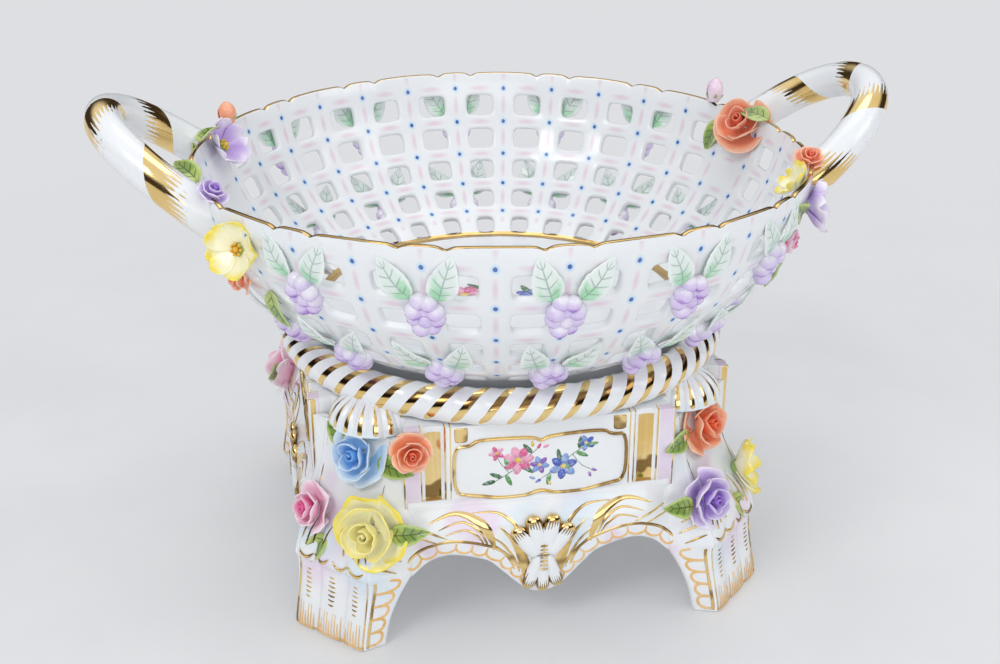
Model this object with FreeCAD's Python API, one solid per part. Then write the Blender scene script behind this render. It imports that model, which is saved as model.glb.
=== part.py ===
import FreeCAD, Part
import math
import os

from FreeCAD import Placement, Rotation, Vector

# A pierced porcelain basket with two twisted handles, lying loose on its own footed stand.
# Millimetres; +Z up; the origin lies on the ground under the middle of the stand.
# The front is -Y and the handles stand at +X and -X.

# Fits shared by all pieces
SEAT_GAP = 0.3
OVERRUN = 2.0

# Bowl wall: a circular arc turned about the axis
ARC_CENTRE_RADIUS = 37.9
ARC_CENTRE_HEIGHT = 210.0
ARC_RADIUS = 102.7
WALL = 4.0
RIM_HEIGHT = 195.0
RIM_EDGE = 2.4
FLOOR_ANGLE = 61.0
FLOOR_THICKNESS = 5.0
FOOT_RING_OUTER = 82.0
FOOT_RING_INNER = 76.0
RIM_NOTCH_RADIUS = 3.6
RIM_NOTCH_DEPTH = 1.3

# Lattice of the bowl
RIB_COUNT = 32
ROW_COUNT = 5
FIRST_ROW_ANGLE = 12.9
ROW_STEP_ANGLE = 9.8
BAR_HEIGHT = 7.5
RIB_WIDTH_TOP = 12.5
RIB_WIDTH_BOTTOM = 10.0
HOLE_CORNER = 2.0
CLOSED_ROWS_AT_HANDLES = 2

# Handles
HANDLE_TUBE = 8.5
HANDLE_HALF_CHORD = 44.7
HANDLE_REACH = 53.6
HANDLE_TILT = 37.9
HANDLE_FOOT_RADIUS = 133.7
HANDLE_FOOT_HEIGHT = 184.0
HANDLE_ROOT = 12.0

# Stand: drum, deck and rope ring
DRUM_HALF = 97.0
DRUM_FACE_HALF = 60.0
NICHE_RADIUS = 102.0
NICHE_HALF = 20.8
DRUM_WALL = 7.0
DRUM_BOTTOM = 58.0
DRUM_TOP = 101.0
DRUM_TOP_PLATE = 6.0
DECK_TOP = 105.0
DECK_HOLE_RADIUS = 60.0
ROPE_RADIUS = 99.0
ROPE_TUBE = 8.0
PILASTER_OFFSET = 47.0
PILASTER_RADIUS = 8.5
PILASTER_DEPTH = 2.4
PILASTER_BOTTOM = 64.0

# Panel frames on the drum's four faces
PANEL_HALF_WIDTH = 39.0
PANEL_HALF_HEIGHT = 15.0
PANEL_HEIGHT = 80.0
FRAME_WIDTH = 2.0
FRAME_DEPTH = 1.6

# Legs
LEG_TOP = 94.0
LEG_HALF_WIDTH = 19.8
LEG_BACK_RADIUS = 102.3
LEG_TOP_RADIUS = 108.0
LEG_WAIST_RADIUS = 111.5
LEG_WAIST_HEIGHT = 76.0
KNEE_TOP_RADIUS = 121.0
KNEE_RADIUS = 131.5
KNEE_HEIGHT = 34.0
KNEE_HALF_WIDTH = 21.5
FOOT_RADIUS = 135.0
FOOT_NECK_RADIUS = 129.7
FOOT_HALF_WIDTH = 20.5
FOOT_WING_RADIUS = 125.0
FOOT_WING_HALF = 24.5
FOOT_BACK_RADIUS = 123.0
KNEE_WING_RADIUS = 113.0
KNEE_WING_HALF = 32.0
KNEE_BACK_RADIUS = 107.0
WING_THICKNESS = 7.0
FLUTE_RADIUS = 2.0
FLUTE_OFFSET = 7.5

# Aprons between the legs
APRON_FRONT = 103.0
APRON_THICKNESS = 8.0
APRON_HALF = 58.0
APRON_SHOULDER = 54.0
APRON_LIP_TOP = 64.0
ARCH_SPRING_HEIGHT = 32.0
ARCH_CROWN_HEIGHT = 41.0
ARCH_CROWN_OFFSET = 42.0
TIP_HALF_WIDTH = 7.0
TIP_SIDE_HEIGHT = 19.5
TIP_HEIGHT = 17.5
SWEEP_OFFSET = 24.0
SWEEP_HEIGHT = 36.0
SWEEP_MIDDLE_OFFSET = 14.5
SWEEP_MIDDLE_HEIGHT = 26.5

# Shell ornament on each apron
SHELL_TOP = 58.0
SHELL_BOTTOM = 18.5
SHELL_WAIST = 38.0
SHELL_LOBE_RADIUS = 4.3
SHELL_BOSS_RADIUS = 5.0
SHELL_FAN_ANGLES = (-36, -12, 12, 36)
SHELL_TAIL_ANGLES = (-20, 0, 20)

# Shell canopies over the legs
CAP_CENTRE_RADIUS = 97.0
CAP_RADIUS = 20.5
CAP_RIM_HEIGHT = 94.6
CAP_CROWN_HEIGHT = 109.0
CAP_THICKNESS = 4.0
CAP_FLUTE_COUNT = 18
CAP_FLUTE_RADIUS = 1.3

# Leaves
LEAF_THICKNESS = 1.4
SPRIG_LEAF_LENGTH = 18.0
SPRIG_LEAF_WIDTH = 10.5
FLOWER_LEAF_LENGTH = 19.0
FLOWER_LEAF_WIDTH = 10.0

# Grape bunches
GRAPE_RADIUS = 3.3
GRAPE_ROW_COUNTS = (3, 3, 2, 1)
SPRIG_STEP_ANGLE = 22.5
UPPER_SPRIG_HEIGHT = 168.0
UPPER_SPRIG_STEPS = 2
LOWER_SPRIG_HEIGHT = 136.0
LOWER_SPRIG_STEPS = 3

# Flowers
LARGE_ROSE = 15.5
MIDDLE_ROSE = 13.0
PLUM_ROSE = 11.0
SMALL_ROSE = 8.5
ROSEBUD = 6.8
OPEN_FLOWER = 13.0
SMALL_OPEN_FLOWER = 10.0
BUD_RADIUS = 5.0
BUD_HEIGHT = 13.0
FLOWER_SINK = 1.0

# Places of the leg flowers: distance across the leg and height
CROWN_ACROSS = 3.0
CROWN_HEIGHT = 82.5
BIG_ACROSS = 18.0
BIG_HEIGHT = 56.0
FAR_ACROSS = -14.0
FAR_HEIGHT = 56.0
CORNER_BLOOM_ACROSS = 56.5
CORNER_BLOOM_HEIGHT = 91.5

# Places of the handle flowers: radius and height of what they are seated on
RIM_RADIUS = 140.4
INNER_WALL_RADIUS = 137.6
INNER_WALL_HEIGHT = 187.0
OUTER_WALL_RADIUS = 140.0
OUTER_WALL_HEIGHT = 178.0
LOW_WALL_RADIUS = 132.4
LOW_WALL_HEIGHT = 160.0

QUARTER_TURN = 90
HALF_TURN = 180
FULL_TURN = 360
UP = Vector(0, 0, 1)
SIDE_NAMES = ("front", "right", "back", "left")
SIDE_AZIMUTHS = (-90, 0, 90, 180)
CORNER_NAMES = ("front_left", "front_right", "back_right", "back_left")
CORNER_AZIMUTHS = (-135, -45, 45, 135)


def polar(radius, azimuth, height):
    """A point at a distance from the axis, an azimuth in degrees and a height."""
    angle = math.radians(azimuth)
    return Vector(radius * math.cos(angle), radius * math.sin(angle), height)


def turned(shape, azimuth):
    """The shape turned about the vertical axis through the origin."""
    copy = shape.copy()
    copy.rotate(Vector(0, 0, 0), UP, azimuth)
    return copy


def placed(shape, point, normal):
    """The shape with its own +Z along the normal, at the point."""
    copy = shape.copy()
    copy.Placement = Placement(point, Rotation(UP, normal))
    return copy


def upright(shape, point, normal, lean=0):
    """The shape with +Z along the normal and its own +Y as near to upward as it can be."""
    across = UP.cross(normal).normalize()
    upward = normal.cross(across).normalize()
    rotation = Rotation(across, upward, normal, "ZXY").multiply(Rotation(UP, lean))
    copy = shape.copy()
    copy.Placement = Placement(point, rotation)
    return copy


def polygon(points):
    """A closed face through the points."""
    return Part.Face(Part.makePolygon(list(points) + [points[0]]))


def revolved(points):
    """A solid of revolution about Z from straight-sided (radius, height) points."""
    return polygon([Vector(r, 0, z) for r, z in points]).revolve(Vector(0, 0, 0), UP, FULL_TURN)


def faceted(points, sides):
    """A solid about Z from (radius, height) points, with flat facets from point to point."""
    def at(radius, height, side):
        return polar(radius, (side % sides) * FULL_TURN / sides, height)
    faces = []
    for (low_radius, low), (high_radius, high) in zip(points, points[1:]):
        for side in range(sides):
            corners = [at(low_radius, low, side)]
            if low_radius:
                corners.append(at(low_radius, low, side + 1))
            corners.append(at(high_radius, high, side + 1))
            if high_radius:
                corners.append(at(high_radius, high, side))
            faces.append(polygon(corners))
    for radius, height in (points[0], points[-1]):
        if radius:
            faces.append(polygon([at(radius, height, side) for side in range(sides)]))
    return Part.Solid(Part.Shell(faces))


def cut_by_near(shape, carriers):
    """The shape less those carriers that its box reaches, as one solid."""
    near = [other for other in carriers if other.BoundBox.intersect(shape.BoundBox)]
    return largest(shape.cut(near)) if near else shape


def largest(shape):
    """The largest solid of a shape that a cut may have divided."""
    return max(shape.Solids, key=lambda solid: solid.Volume)


# The bowl

def wall_point(angle, depth):
    """Radius and height on the wall: the angle is below level, the depth is outwards."""
    reach = ARC_RADIUS + depth
    radius = ARC_CENTRE_RADIUS + reach * math.cos(math.radians(angle))
    height = ARC_CENTRE_HEIGHT - reach * math.sin(math.radians(angle))
    return radius, height


def angle_at(height, depth):
    """The wall's angle where the surface at this depth passes a height."""
    return math.degrees(math.asin((ARC_CENTRE_HEIGHT - height) / (ARC_RADIUS + depth)))


def section_arc(first, last, depth):
    """The edge of the wall's section at a depth between two angles."""
    ends = [Vector(r, 0, z) for r, z in (wall_point(a, depth) for a in (first, (first + last) / 2, last))]
    return Part.Arc(*ends).toShape()


def bowl_blank(depth):
    """Everything inside the wall's surface at a depth, closed at the rim and the floor."""
    floor_height = wall_point(FLOOR_ANGLE, 0)[1] - FLOOR_THICKNESS
    top = RIM_HEIGHT + HANDLE_TUBE
    low = angle_at(floor_height, depth)
    high = angle_at(RIM_HEIGHT, depth)
    arc = section_arc(high, low, depth)
    rim = wall_point(high, depth)[0]
    foot = wall_point(low, depth)[0]
    lines = [Part.makeLine(Vector(foot, 0, floor_height), Vector(0, 0, floor_height)),
             Part.makeLine(Vector(0, 0, floor_height), Vector(0, 0, top)),
             Part.makeLine(Vector(0, 0, top), Vector(rim, 0, top)),
             Part.makeLine(Vector(rim, 0, top), Vector(rim, 0, RIM_HEIGHT))]
    wire = Part.Wire(Part.__sortEdges__([arc] + lines))
    return Part.Face(wire).revolve(Vector(0, 0, 0), UP, FULL_TURN)


def bowl_section():
    """The bowl's section with its floor, foot ring and thinned rim."""
    floor_radius, floor_height = wall_point(FLOOR_ANGLE, 0)
    under = floor_height - FLOOR_THICKNESS
    foot_angle = angle_at(under, WALL)
    rim_start = angle_at(RIM_HEIGHT - WALL, 0)
    inner = section_arc(rim_start, FLOOR_ANGLE, 0)
    outer = section_arc(rim_start, foot_angle, WALL)
    in_r, in_z = wall_point(rim_start, 0)
    out_r, out_z = wall_point(rim_start, WALL)
    edge_r = in_r + (WALL - RIM_EDGE) / 2
    points = [(floor_radius, floor_height), (0, floor_height), (0, under),
              (FOOT_RING_INNER, under), (FOOT_RING_INNER, DECK_TOP),
              (FOOT_RING_OUTER, DECK_TOP), (FOOT_RING_OUTER, under),
              (wall_point(foot_angle, WALL)[0], under)]
    rim = [(in_r, in_z), (edge_r, RIM_HEIGHT), (edge_r + RIM_EDGE, RIM_HEIGHT), (out_r, out_z)]
    edges = [inner, outer]
    for path in (points, rim):
        corners = [Vector(r, 0, z) for r, z in path]
        edges += [Part.makeLine(a, b) for a, b in zip(corners, corners[1:])]
    return Part.Face(Part.Wire(Part.__sortEdges__(edges)))


def rounded_hole(width, height, azimuth, angle):
    """A cutter for one hole of the lattice, square to the wall."""
    w, h, c = width / 2, height / 2, HOLE_CORNER
    k = c * (1 - math.sqrt(0.5))
    stops = [(w - c, h), (w, h - c), (w, c - h), (w - c, -h), (c - w, -h), (-w, c - h), (-w, h - c), (c - w, h)]
    knees = [(w - k, h - k), None, (w - k, k - h), None, (k - w, k - h), None, (k - w, h - k), None]
    edges = []
    for index, start in enumerate(stops):
        end = stops[(index + 1) % len(stops)]
        a, b = Vector(*start, 0), Vector(*end, 0)
        if knees[index]:
            edges.append(Part.Arc(a, Vector(*knees[index], 0), b).toShape())
        else:
            edges.append(Part.makeLine(a, b))
    face = Part.Face(Part.Wire(edges))
    prism = face.extrude(Vector(0, 0, WALL + 2 * OVERRUN))
    radius, level = wall_point(angle, -OVERRUN)
    slope = math.radians(angle)
    outward = Vector(math.cos(slope), 0, -math.sin(slope))
    return turned(upright(prism, Vector(radius, 0, level), outward), azimuth)


def lattice_holes(columns, closed_rows):
    """Cutters for the openings of some columns; the closed rows stay solid in the outer columns."""
    pitch = FULL_TURN / RIB_COUNT
    cutters = []
    for row in range(ROW_COUNT):
        angle = FIRST_ROW_ANGLE + (row + 0.5) * ROW_STEP_ANGLE
        radius = wall_point(angle, 0)[0]
        along = row / (ROW_COUNT - 1)
        rib = RIB_WIDTH_TOP + (RIB_WIDTH_BOTTOM - RIB_WIDTH_TOP) * along
        width = 2 * math.pi * radius / RIB_COUNT - rib
        height = math.radians(ROW_STEP_ANGLE) * (ARC_RADIUS + WALL / 2) - BAR_HEIGHT
        for column in range(columns):
            if row < closed_rows and column in (0, columns - 1):
                continue
            cutters.append(rounded_hole(width, height, (column + 0.5 - columns / 2) * pitch, angle))
    return cutters


def rim_notches(columns):
    """Small round nicks that divide the rim into long and short lobes."""
    cutters = []
    pitch = FULL_TURN / RIB_COUNT
    start = wall_point(0, -OVERRUN)[0] - OVERRUN
    level = RIM_HEIGHT - RIM_NOTCH_DEPTH + RIM_NOTCH_RADIUS
    tool = Part.makeCylinder(RIM_NOTCH_RADIUS, WALL + 4 * OVERRUN, Vector(start, 0, level), Vector(1, 0, 0))
    for pair in range(columns // 2):
        for share in (1 / 3, 5 / 3):
            cutters.append(turned(tool, (2 * pair + share - columns / 2) * pitch))
    return cutters


def bowl_sector(columns, closed_rows):
    """One sector of the bowl, middle at azimuth zero, with its holes and rim nicks."""
    width = columns * FULL_TURN / RIB_COUNT
    face = bowl_section()
    face.rotate(Vector(0, 0, 0), UP, -width / 2)
    blank = face.revolve(Vector(0, 0, 0), UP, width)
    return largest(blank.cut(lattice_holes(columns, closed_rows) + rim_notches(columns)))


def basket_bowl():
    """The thrown bowl with its cut lattice, closed in part beside the handles."""
    columns = 4
    sectors = RIB_COUNT // columns
    plain = bowl_sector(columns, 0)
    beside_handle = bowl_sector(columns, CLOSED_ROWS_AT_HANDLES)
    pieces = []
    for index in range(sectors):
        sector = beside_handle if index % (sectors // 2) == 0 else plain
        pieces.append(turned(sector, index * FULL_TURN / sectors))
    return largest(pieces[0].fuse(pieces[1:]))


# Handles

def handle_path():
    """Half an ellipse in a leaning plane, run straight on into the wall at both ends."""
    tilt = math.radians(HANDLE_TILT)
    reach = Vector(math.cos(tilt), 0, math.sin(tilt))
    across = Vector(0, 1, 0)
    centre = Vector(HANDLE_FOOT_RADIUS, 0, HANDLE_FOOT_HEIGHT)
    ellipse = Part.Ellipse(centre + reach * HANDLE_REACH, centre + across * HANDLE_HALF_CHORD, centre)
    arc = Part.ArcOfEllipse(ellipse, -math.pi / 2, math.pi / 2).toShape()
    start = arc.valueAt(arc.FirstParameter)
    end = arc.valueAt(arc.LastParameter)
    root = reach * HANDLE_ROOT
    return Part.Wire([Part.makeLine(start - root, start), arc, Part.makeLine(end, end - root)]), start - root, reach


def handle(azimuth):
    """One loop handle, seated on the outside of the bowl."""
    path, start, direction = handle_path()
    ring = Part.Wire(Part.makeCircle(HANDLE_TUBE, start, direction))
    tube = path.makePipeShell([ring], True, False)
    return turned(largest(tube.cut(bowl_blank(WALL + SEAT_GAP))), azimuth)


# Stand

def side_point(across, out, height):
    """A point on the front side: across is along X, out is from the axis towards the front."""
    return Vector(across, -out, height)


def drum_outline(inset):
    """The drum's plan: four faces and four corner niches, drawn in by an inset."""
    half = DRUM_HALF - inset
    face = DRUM_FACE_HALF - inset * math.tan(math.radians(QUARTER_TURN / 4))
    niche = NICHE_RADIUS - inset
    points = []
    for azimuth in SIDE_AZIMUTHS:
        points.append(polar(half, azimuth, 0) + polar(face, azimuth - QUARTER_TURN, 0))
        points.append(polar(half, azimuth, 0) + polar(face, azimuth + QUARTER_TURN, 0))
        corner = azimuth + QUARTER_TURN / 2
        for side in (-QUARTER_TURN, QUARTER_TURN):
            points.append(polar(niche, corner, 0) + polar(NICHE_HALF, corner + side, 0))
    return points


def prism(points, bottom, top):
    """A flat outline raised from one height to another."""
    face = polygon([Vector(p.x, p.y, bottom) for p in points])
    return face.extrude(Vector(0, 0, top - bottom))


def stand_drum():
    """The hollow drum with its top plate, the raised deck and the fluted pilasters."""
    shell = prism(drum_outline(0), DRUM_BOTTOM, DRUM_TOP)
    hollow = prism(drum_outline(DRUM_WALL), DRUM_BOTTOM - OVERRUN, DRUM_TOP - DRUM_TOP_PLATE)
    deck_radius = ROPE_RADIUS - math.sqrt(ROPE_TUBE ** 2 - (rope_height() - DECK_TOP) ** 2) - SEAT_GAP
    deck = Part.makeCylinder(deck_radius, DECK_TOP - DRUM_TOP + DRUM_TOP_PLATE / 2,
                             Vector(0, 0, DRUM_TOP - DRUM_TOP_PLATE / 2))
    hole = Part.makeCylinder(DECK_HOLE_RADIUS, DECK_TOP - DRUM_BOTTOM + OVERRUN, Vector(0, 0, DRUM_BOTTOM))
    grooves = []
    for azimuth in SIDE_AZIMUTHS:
        for across in (-PILASTER_OFFSET, PILASTER_OFFSET):
            foot = polar(DRUM_HALF + PILASTER_RADIUS - PILASTER_DEPTH, azimuth, PILASTER_BOTTOM)
            foot += polar(across, azimuth + QUARTER_TURN, 0)
            grooves.append(Part.makeCylinder(PILASTER_RADIUS, DRUM_TOP - PILASTER_BOTTOM + OVERRUN, foot))
    return largest(shell.fuse(deck).cut([hollow, hole] + grooves))


def rope_height():
    """The rope ring's middle, just clear of the ledge that it is seated on."""
    return DRUM_TOP + SEAT_GAP + ROPE_TUBE


def rope_ring():
    """The twisted ring round the deck."""
    return Part.makeTorus(ROPE_RADIUS, ROPE_TUBE, Vector(0, 0, rope_height()))


def leg_section(height, corners):
    """A closed plan section of a leg from the corners of one half, mirrored."""
    right = [Vector(radius, half, height) for radius, half in corners]
    left = [Vector(radius, -half, height) for radius, half in reversed(corners) if half > 0]
    return Part.makePolygon(right + left + [right[0]])


def leg(azimuth):
    """One bracket leg: splayed fluted foot, knee with side wings, and slim back."""
    middle = KNEE_HEIGHT / 2
    foot_low = [(FOOT_RADIUS, FOOT_HALF_WIDTH), (FOOT_WING_RADIUS, FOOT_WING_HALF),
                (FOOT_WING_RADIUS - WING_THICKNESS / 2, FOOT_WING_HALF - WING_THICKNESS / 2),
                (FOOT_BACK_RADIUS, 0)]
    foot_high = [(FOOT_NECK_RADIUS, FOOT_HALF_WIDTH), (KNEE_WING_RADIUS, KNEE_WING_HALF),
                 (KNEE_WING_RADIUS - WING_THICKNESS * math.sqrt(0.5),
                  KNEE_WING_HALF - WING_THICKNESS * math.sqrt(0.5)),
                 (KNEE_BACK_RADIUS, 0)]
    bow_share, wing_share = 0.62, 0.34
    foot_middle = []
    for (low_r, low_h), (high_r, high_h) in zip(foot_low, foot_high):
        share = bow_share if low_r == FOOT_RADIUS else wing_share
        foot_middle.append((low_r + (high_r - low_r) * share, low_h + (high_h - low_h) * wing_share / 2))
    foot = Part.makeLoft([leg_section(0, foot_low), leg_section(middle, foot_middle),
                          leg_section(KNEE_HEIGHT, foot_high)], True, False)
    knee_low = [(KNEE_RADIUS, KNEE_HALF_WIDTH)] + foot_high[1:]
    knee_high = [(KNEE_TOP_RADIUS, KNEE_HALF_WIDTH), (KNEE_WING_RADIUS - WING_THICKNESS / 2, KNEE_WING_HALF)]
    knee_high += foot_high[2:]
    knee = Part.makeLoft([leg_section(KNEE_HEIGHT, knee_low), leg_section(DRUM_BOTTOM, knee_high)], True, True)
    backs = [(DRUM_BOTTOM, KNEE_TOP_RADIUS), (LEG_WAIST_HEIGHT, LEG_WAIST_RADIUS), (LEG_TOP, LEG_TOP_RADIUS)]
    slim = Part.makeLoft([leg_section(height, [(radius, LEG_HALF_WIDTH), (LEG_BACK_RADIUS, LEG_HALF_WIDTH)])
                          for height, radius in backs], True, False)
    body = foot.fuse([knee, slim])
    flutes = []
    lean = Vector(FOOT_NECK_RADIUS - FOOT_RADIUS, 0, KNEE_HEIGHT).normalize()
    for across in (-FLUTE_OFFSET, FLUTE_OFFSET):
        start = Vector(FOOT_RADIUS, across, 0) - lean * OVERRUN
        flutes.append(Part.makeCylinder(FLUTE_RADIUS, KNEE_HEIGHT + OVERRUN, start, lean))
    return turned(largest(body.cut(flutes)), azimuth)


def apron(azimuth, legs):
    """The arched wall between two legs, with its sloping upper lip and centre drop."""
    def at(across, height):
        return side_point(across, APRON_FRONT, height)
    half = [((APRON_HALF, ARCH_SPRING_HEIGHT), (ARCH_CROWN_OFFSET, ARCH_CROWN_HEIGHT),
             (SWEEP_OFFSET, SWEEP_HEIGHT)),
            ((SWEEP_OFFSET, SWEEP_HEIGHT), (SWEEP_MIDDLE_OFFSET, SWEEP_MIDDLE_HEIGHT),
             (TIP_HALF_WIDTH, TIP_SIDE_HEIGHT))]
    edges = []
    for side in (-1, 1):
        for trio in half:
            edges.append(Part.Arc(*[at(side * x, z) for x, z in trio]).toShape())
    edges.append(Part.Arc(at(-TIP_HALF_WIDTH, TIP_SIDE_HEIGHT), at(0, TIP_HEIGHT),
                          at(TIP_HALF_WIDTH, TIP_SIDE_HEIGHT)).toShape())
    corners = [at(-APRON_HALF, ARCH_SPRING_HEIGHT), at(-APRON_HALF, DRUM_BOTTOM),
               at(APRON_HALF, DRUM_BOTTOM), at(APRON_HALF, ARCH_SPRING_HEIGHT)]
    edges += [Part.makeLine(a, b) for a, b in zip(corners, corners[1:])]
    plate = Part.Face(Part.Wire(Part.__sortEdges__(edges))).extrude(Vector(0, APRON_THICKNESS, 0))
    face_out = DRUM_HALF + SEAT_GAP
    lip = polygon([side_point(-APRON_HALF, APRON_FRONT, APRON_SHOULDER),
                   side_point(-APRON_HALF, face_out, APRON_LIP_TOP),
                   side_point(-APRON_HALF, face_out, APRON_SHOULDER)]).extrude(Vector(2 * APRON_HALF, 0, 0))
    above = Part.makeBox(2 * APRON_HALF, APRON_FRONT - face_out, DRUM_BOTTOM - APRON_SHOULDER + OVERRUN,
                         side_point(-APRON_HALF, APRON_FRONT, APRON_SHOULDER))
    body = turned(plate.cut(above).fuse(lip), azimuth + QUARTER_TURN)
    return largest(body.cut(legs))


def lobe(length, radius):
    """A slim drop shape along +Y from its point at the origin to its round end."""
    profile_shares = [(0, 0), (0.62, 0.34), (1.0, 0.74), (0.84, 0.90), (0.44, 0.98), (0, 1.0)]
    shape = revolved([(r * radius, z * length) for r, z in profile_shares])
    shape.rotate(Vector(0, 0, 0), Vector(1, 0, 0), -QUARTER_TURN)
    return shape


def apron_shell(azimuth):
    """A gilt-edged shell: four lobes fan up from the waist and three hang below."""
    rise = SHELL_TOP - SHELL_WAIST
    drop = SHELL_WAIST - SHELL_BOTTOM
    parts = []
    for angle in SHELL_FAN_ANGLES:
        length = (rise + SHELL_LOBE_RADIUS) * (1 - abs(angle) / FULL_TURN)
        parts.append((lobe(length, SHELL_LOBE_RADIUS), -angle))
    for angle in SHELL_TAIL_ANGLES:
        length = (drop + SHELL_LOBE_RADIUS) * (1 - abs(angle) / HALF_TURN)
        parts.append((lobe(length, SHELL_LOBE_RADIUS), HALF_TURN + angle))
    solids = []
    for shape, spin in parts:
        shape.rotate(Vector(0, 0, 0), UP, spin)
        back = SHELL_LOBE_RADIUS if abs(spin) < QUARTER_TURN else -SHELL_LOBE_RADIUS
        shape.translate(Vector(0, -back, 0))
        solids.append(shape)
    body = Part.makeSphere(SHELL_BOSS_RADIUS).fuse(solids)
    reach = 2 * (rise + drop)
    behind = Part.makeBox(reach, reach, reach, Vector(-reach / 2, -reach / 2, -reach))
    body = body.cut(behind)
    normal = polar(1, azimuth, 0)
    point = polar(APRON_FRONT + SEAT_GAP, azimuth, SHELL_WAIST)
    return largest(upright(body, point, normal))


def shell_cap(azimuth, cutters):
    """A fluted shell canopy that leans out over a leg from under the rope ring."""
    rise = CAP_CROWN_HEIGHT - CAP_RIM_HEIGHT
    def dome(radius, height, base):
        bend = math.sqrt(0.5)
        arc = Part.Arc(Vector(0, 0, base + height), Vector(radius * bend, 0, base + height * bend),
                       Vector(radius, 0, base)).toShape()
        sides = [Part.makeLine(Vector(radius, 0, base), Vector(0, 0, base)),
                 Part.makeLine(Vector(0, 0, base), Vector(0, 0, base + height))]
        face = Part.Face(Part.Wire(Part.__sortEdges__([arc] + sides)))
        return face.revolve(Vector(0, 0, 0), UP, FULL_TURN)
    outer = dome(CAP_RADIUS, rise, CAP_RIM_HEIGHT)
    inner = dome(CAP_RADIUS - CAP_THICKNESS, rise - CAP_THICKNESS, CAP_RIM_HEIGHT - OVERRUN)
    flutes = []
    for index in range(CAP_FLUTE_COUNT):
        foot = polar(CAP_RADIUS, (index + 0.5) * FULL_TURN / CAP_FLUTE_COUNT, CAP_RIM_HEIGHT - OVERRUN)
        flutes.append(Part.makeCylinder(CAP_FLUTE_RADIUS, rise, foot))
    shell = outer.cut([inner] + flutes)
    shell.translate(Vector(CAP_CENTRE_RADIUS, 0, 0))
    return largest(turned(shell, azimuth).cut(cutters))


def panel_frame(azimuth):
    """The bracket-shaped moulding round one painted panel."""
    half_shares = [(0.10, 0.94), (0.72, 1.0), (0.82, 0.80), (1.0, 0.80), (1.0, -0.82),
                   (0.78, -0.92), (0.50, -1.08), (0.16, -1.08)]
    shares = [(0, 0.78)] + half_shares + [(0, -0.92)]
    shares += [(-x, z) for x, z in reversed(half_shares)]
    def outline(inset):
        wide = PANEL_HALF_WIDTH - inset
        tall = PANEL_HALF_HEIGHT - inset
        return [side_point(x * wide, DRUM_HALF, PANEL_HEIGHT + z * tall) for x, z in shares]
    outward = Vector(0, -FRAME_DEPTH, 0)
    frame = polygon(outline(0)).extrude(outward)
    opening = polygon(outline(FRAME_WIDTH)).extrude(outward)
    return turned(frame.cut(opening), azimuth + QUARTER_TURN)


# Leaves, grapes and flowers; each lies on its own XY plane with its face along +Z

def leaf(length, width):
    """A pointed leaf plate that runs along +Y from its stalk end."""
    widest_share = 0.45
    widest = length * widest_share
    left = Part.Arc(Vector(0, 0, 0), Vector(-width / 2, widest, 0), Vector(0, length, 0)).toShape()
    right = Part.Arc(Vector(0, length, 0), Vector(width / 2, widest, 0), Vector(0, 0, 0)).toShape()
    return Part.Face(Part.Wire([left, right])).extrude(Vector(0, 0, LEAF_THICKNESS))


def ball(radius, centre):
    """A ball with flat facets."""
    sides, latitudes = 8, (-40, 0, 40)
    rings = [(radius * math.cos(math.radians(a)), radius * math.sin(math.radians(a))) for a in latitudes]
    solid = faceted([(0, -radius)] + rings + [(0, radius)], sides)
    solid.translate(centre)
    return solid


def grape_bunch():
    """A small hanging bunch, flat behind, with its stalk end at the origin."""
    across_share, down_share, top_share, lift_shares = 1.55, 1.24, 1.22, (0.35, 0.75)
    step = GRAPE_RADIUS * across_share
    balls = []
    for row, count in enumerate(GRAPE_ROW_COUNTS):
        for index in range(count):
            across = (index - (count - 1) / 2) * step
            down = GRAPE_RADIUS * (top_share + row * down_share)
            lift = GRAPE_RADIUS * lift_shares[(row + index) % 2]
            balls.append(ball(GRAPE_RADIUS, Vector(across, -down, lift)))
    reach = step * (len(GRAPE_ROW_COUNTS) + 1)
    behind = Part.makeBox(2 * reach, 2 * reach, reach, Vector(-reach, -2 * reach + step, -reach))
    return largest(balls[0].fuse(balls[1:]).cut(behind))


def rose(radius):
    """A full rose: three cupped rings of petals round a rolled heart."""
    height_share = 0.95
    height = radius * height_share
    profile_shares = [(0, 0), (0.45, 0), (0.86, 0.22), (1.0, 0.52), (0.92, 0.60), (0.70, 0.36), (0.76, 0.78),
                      (0.67, 0.82), (0.46, 0.48), (0.48, 0.93), (0.40, 0.95), (0.24, 0.66), (0.18, 1.0), (0, 1.0)]
    body = revolved([(r * radius, z * height) for r, z in profile_shares])
    slots = []
    for count, near_share, far_share, low_share, width_share in ((5, 0.78, 1.1, 0.44, 0.09),
                                                                 (3, 0.57, 0.80, 0.62, 0.08)):
        for index in range(count):
            width = width_share * radius
            slot = Part.makeBox((far_share - near_share) * radius, width, height,
                                Vector(near_share * radius, -width / 2, low_share * height))
            slots.append(turned(slot, (index + 1) * FULL_TURN / count))
    return largest(body.cut(slots))


def open_flower(radius):
    """An open flower of five round petals, cupped towards the viewer, with a raised eye."""
    petal_share, place_share, lift_share, thick_share, stalk_share, calyx_share = 0.52, 0.50, 0.44, 0.16, 0.2, 0.42
    petal_count, petal_sides, stalk_sides, cup_angle = 5, 14, 10, 24
    lift = lift_share * radius
    lens_shares = [(0, -0.5), (0.7, -0.36), (1, 0), (0.7, 0.36), (0, 0.5)]
    petal = faceted([(x * petal_share * radius, z * thick_share * radius) for x, z in lens_shares], petal_sides)
    petal.rotate(Vector(0, 0, 0), Vector(0, 1, 0), -cup_angle)
    petal.translate(Vector(place_share * radius, 0, lift))
    petals = [turned(petal, index * FULL_TURN / petal_count) for index in range(petal_count)]
    base = faceted([(stalk_share * radius, 0), (calyx_share * radius, lift)], stalk_sides)
    eye = ball(stalk_share * radius, Vector(0, 0, lift))
    return largest(base.fuse(petals + [eye]))


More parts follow.
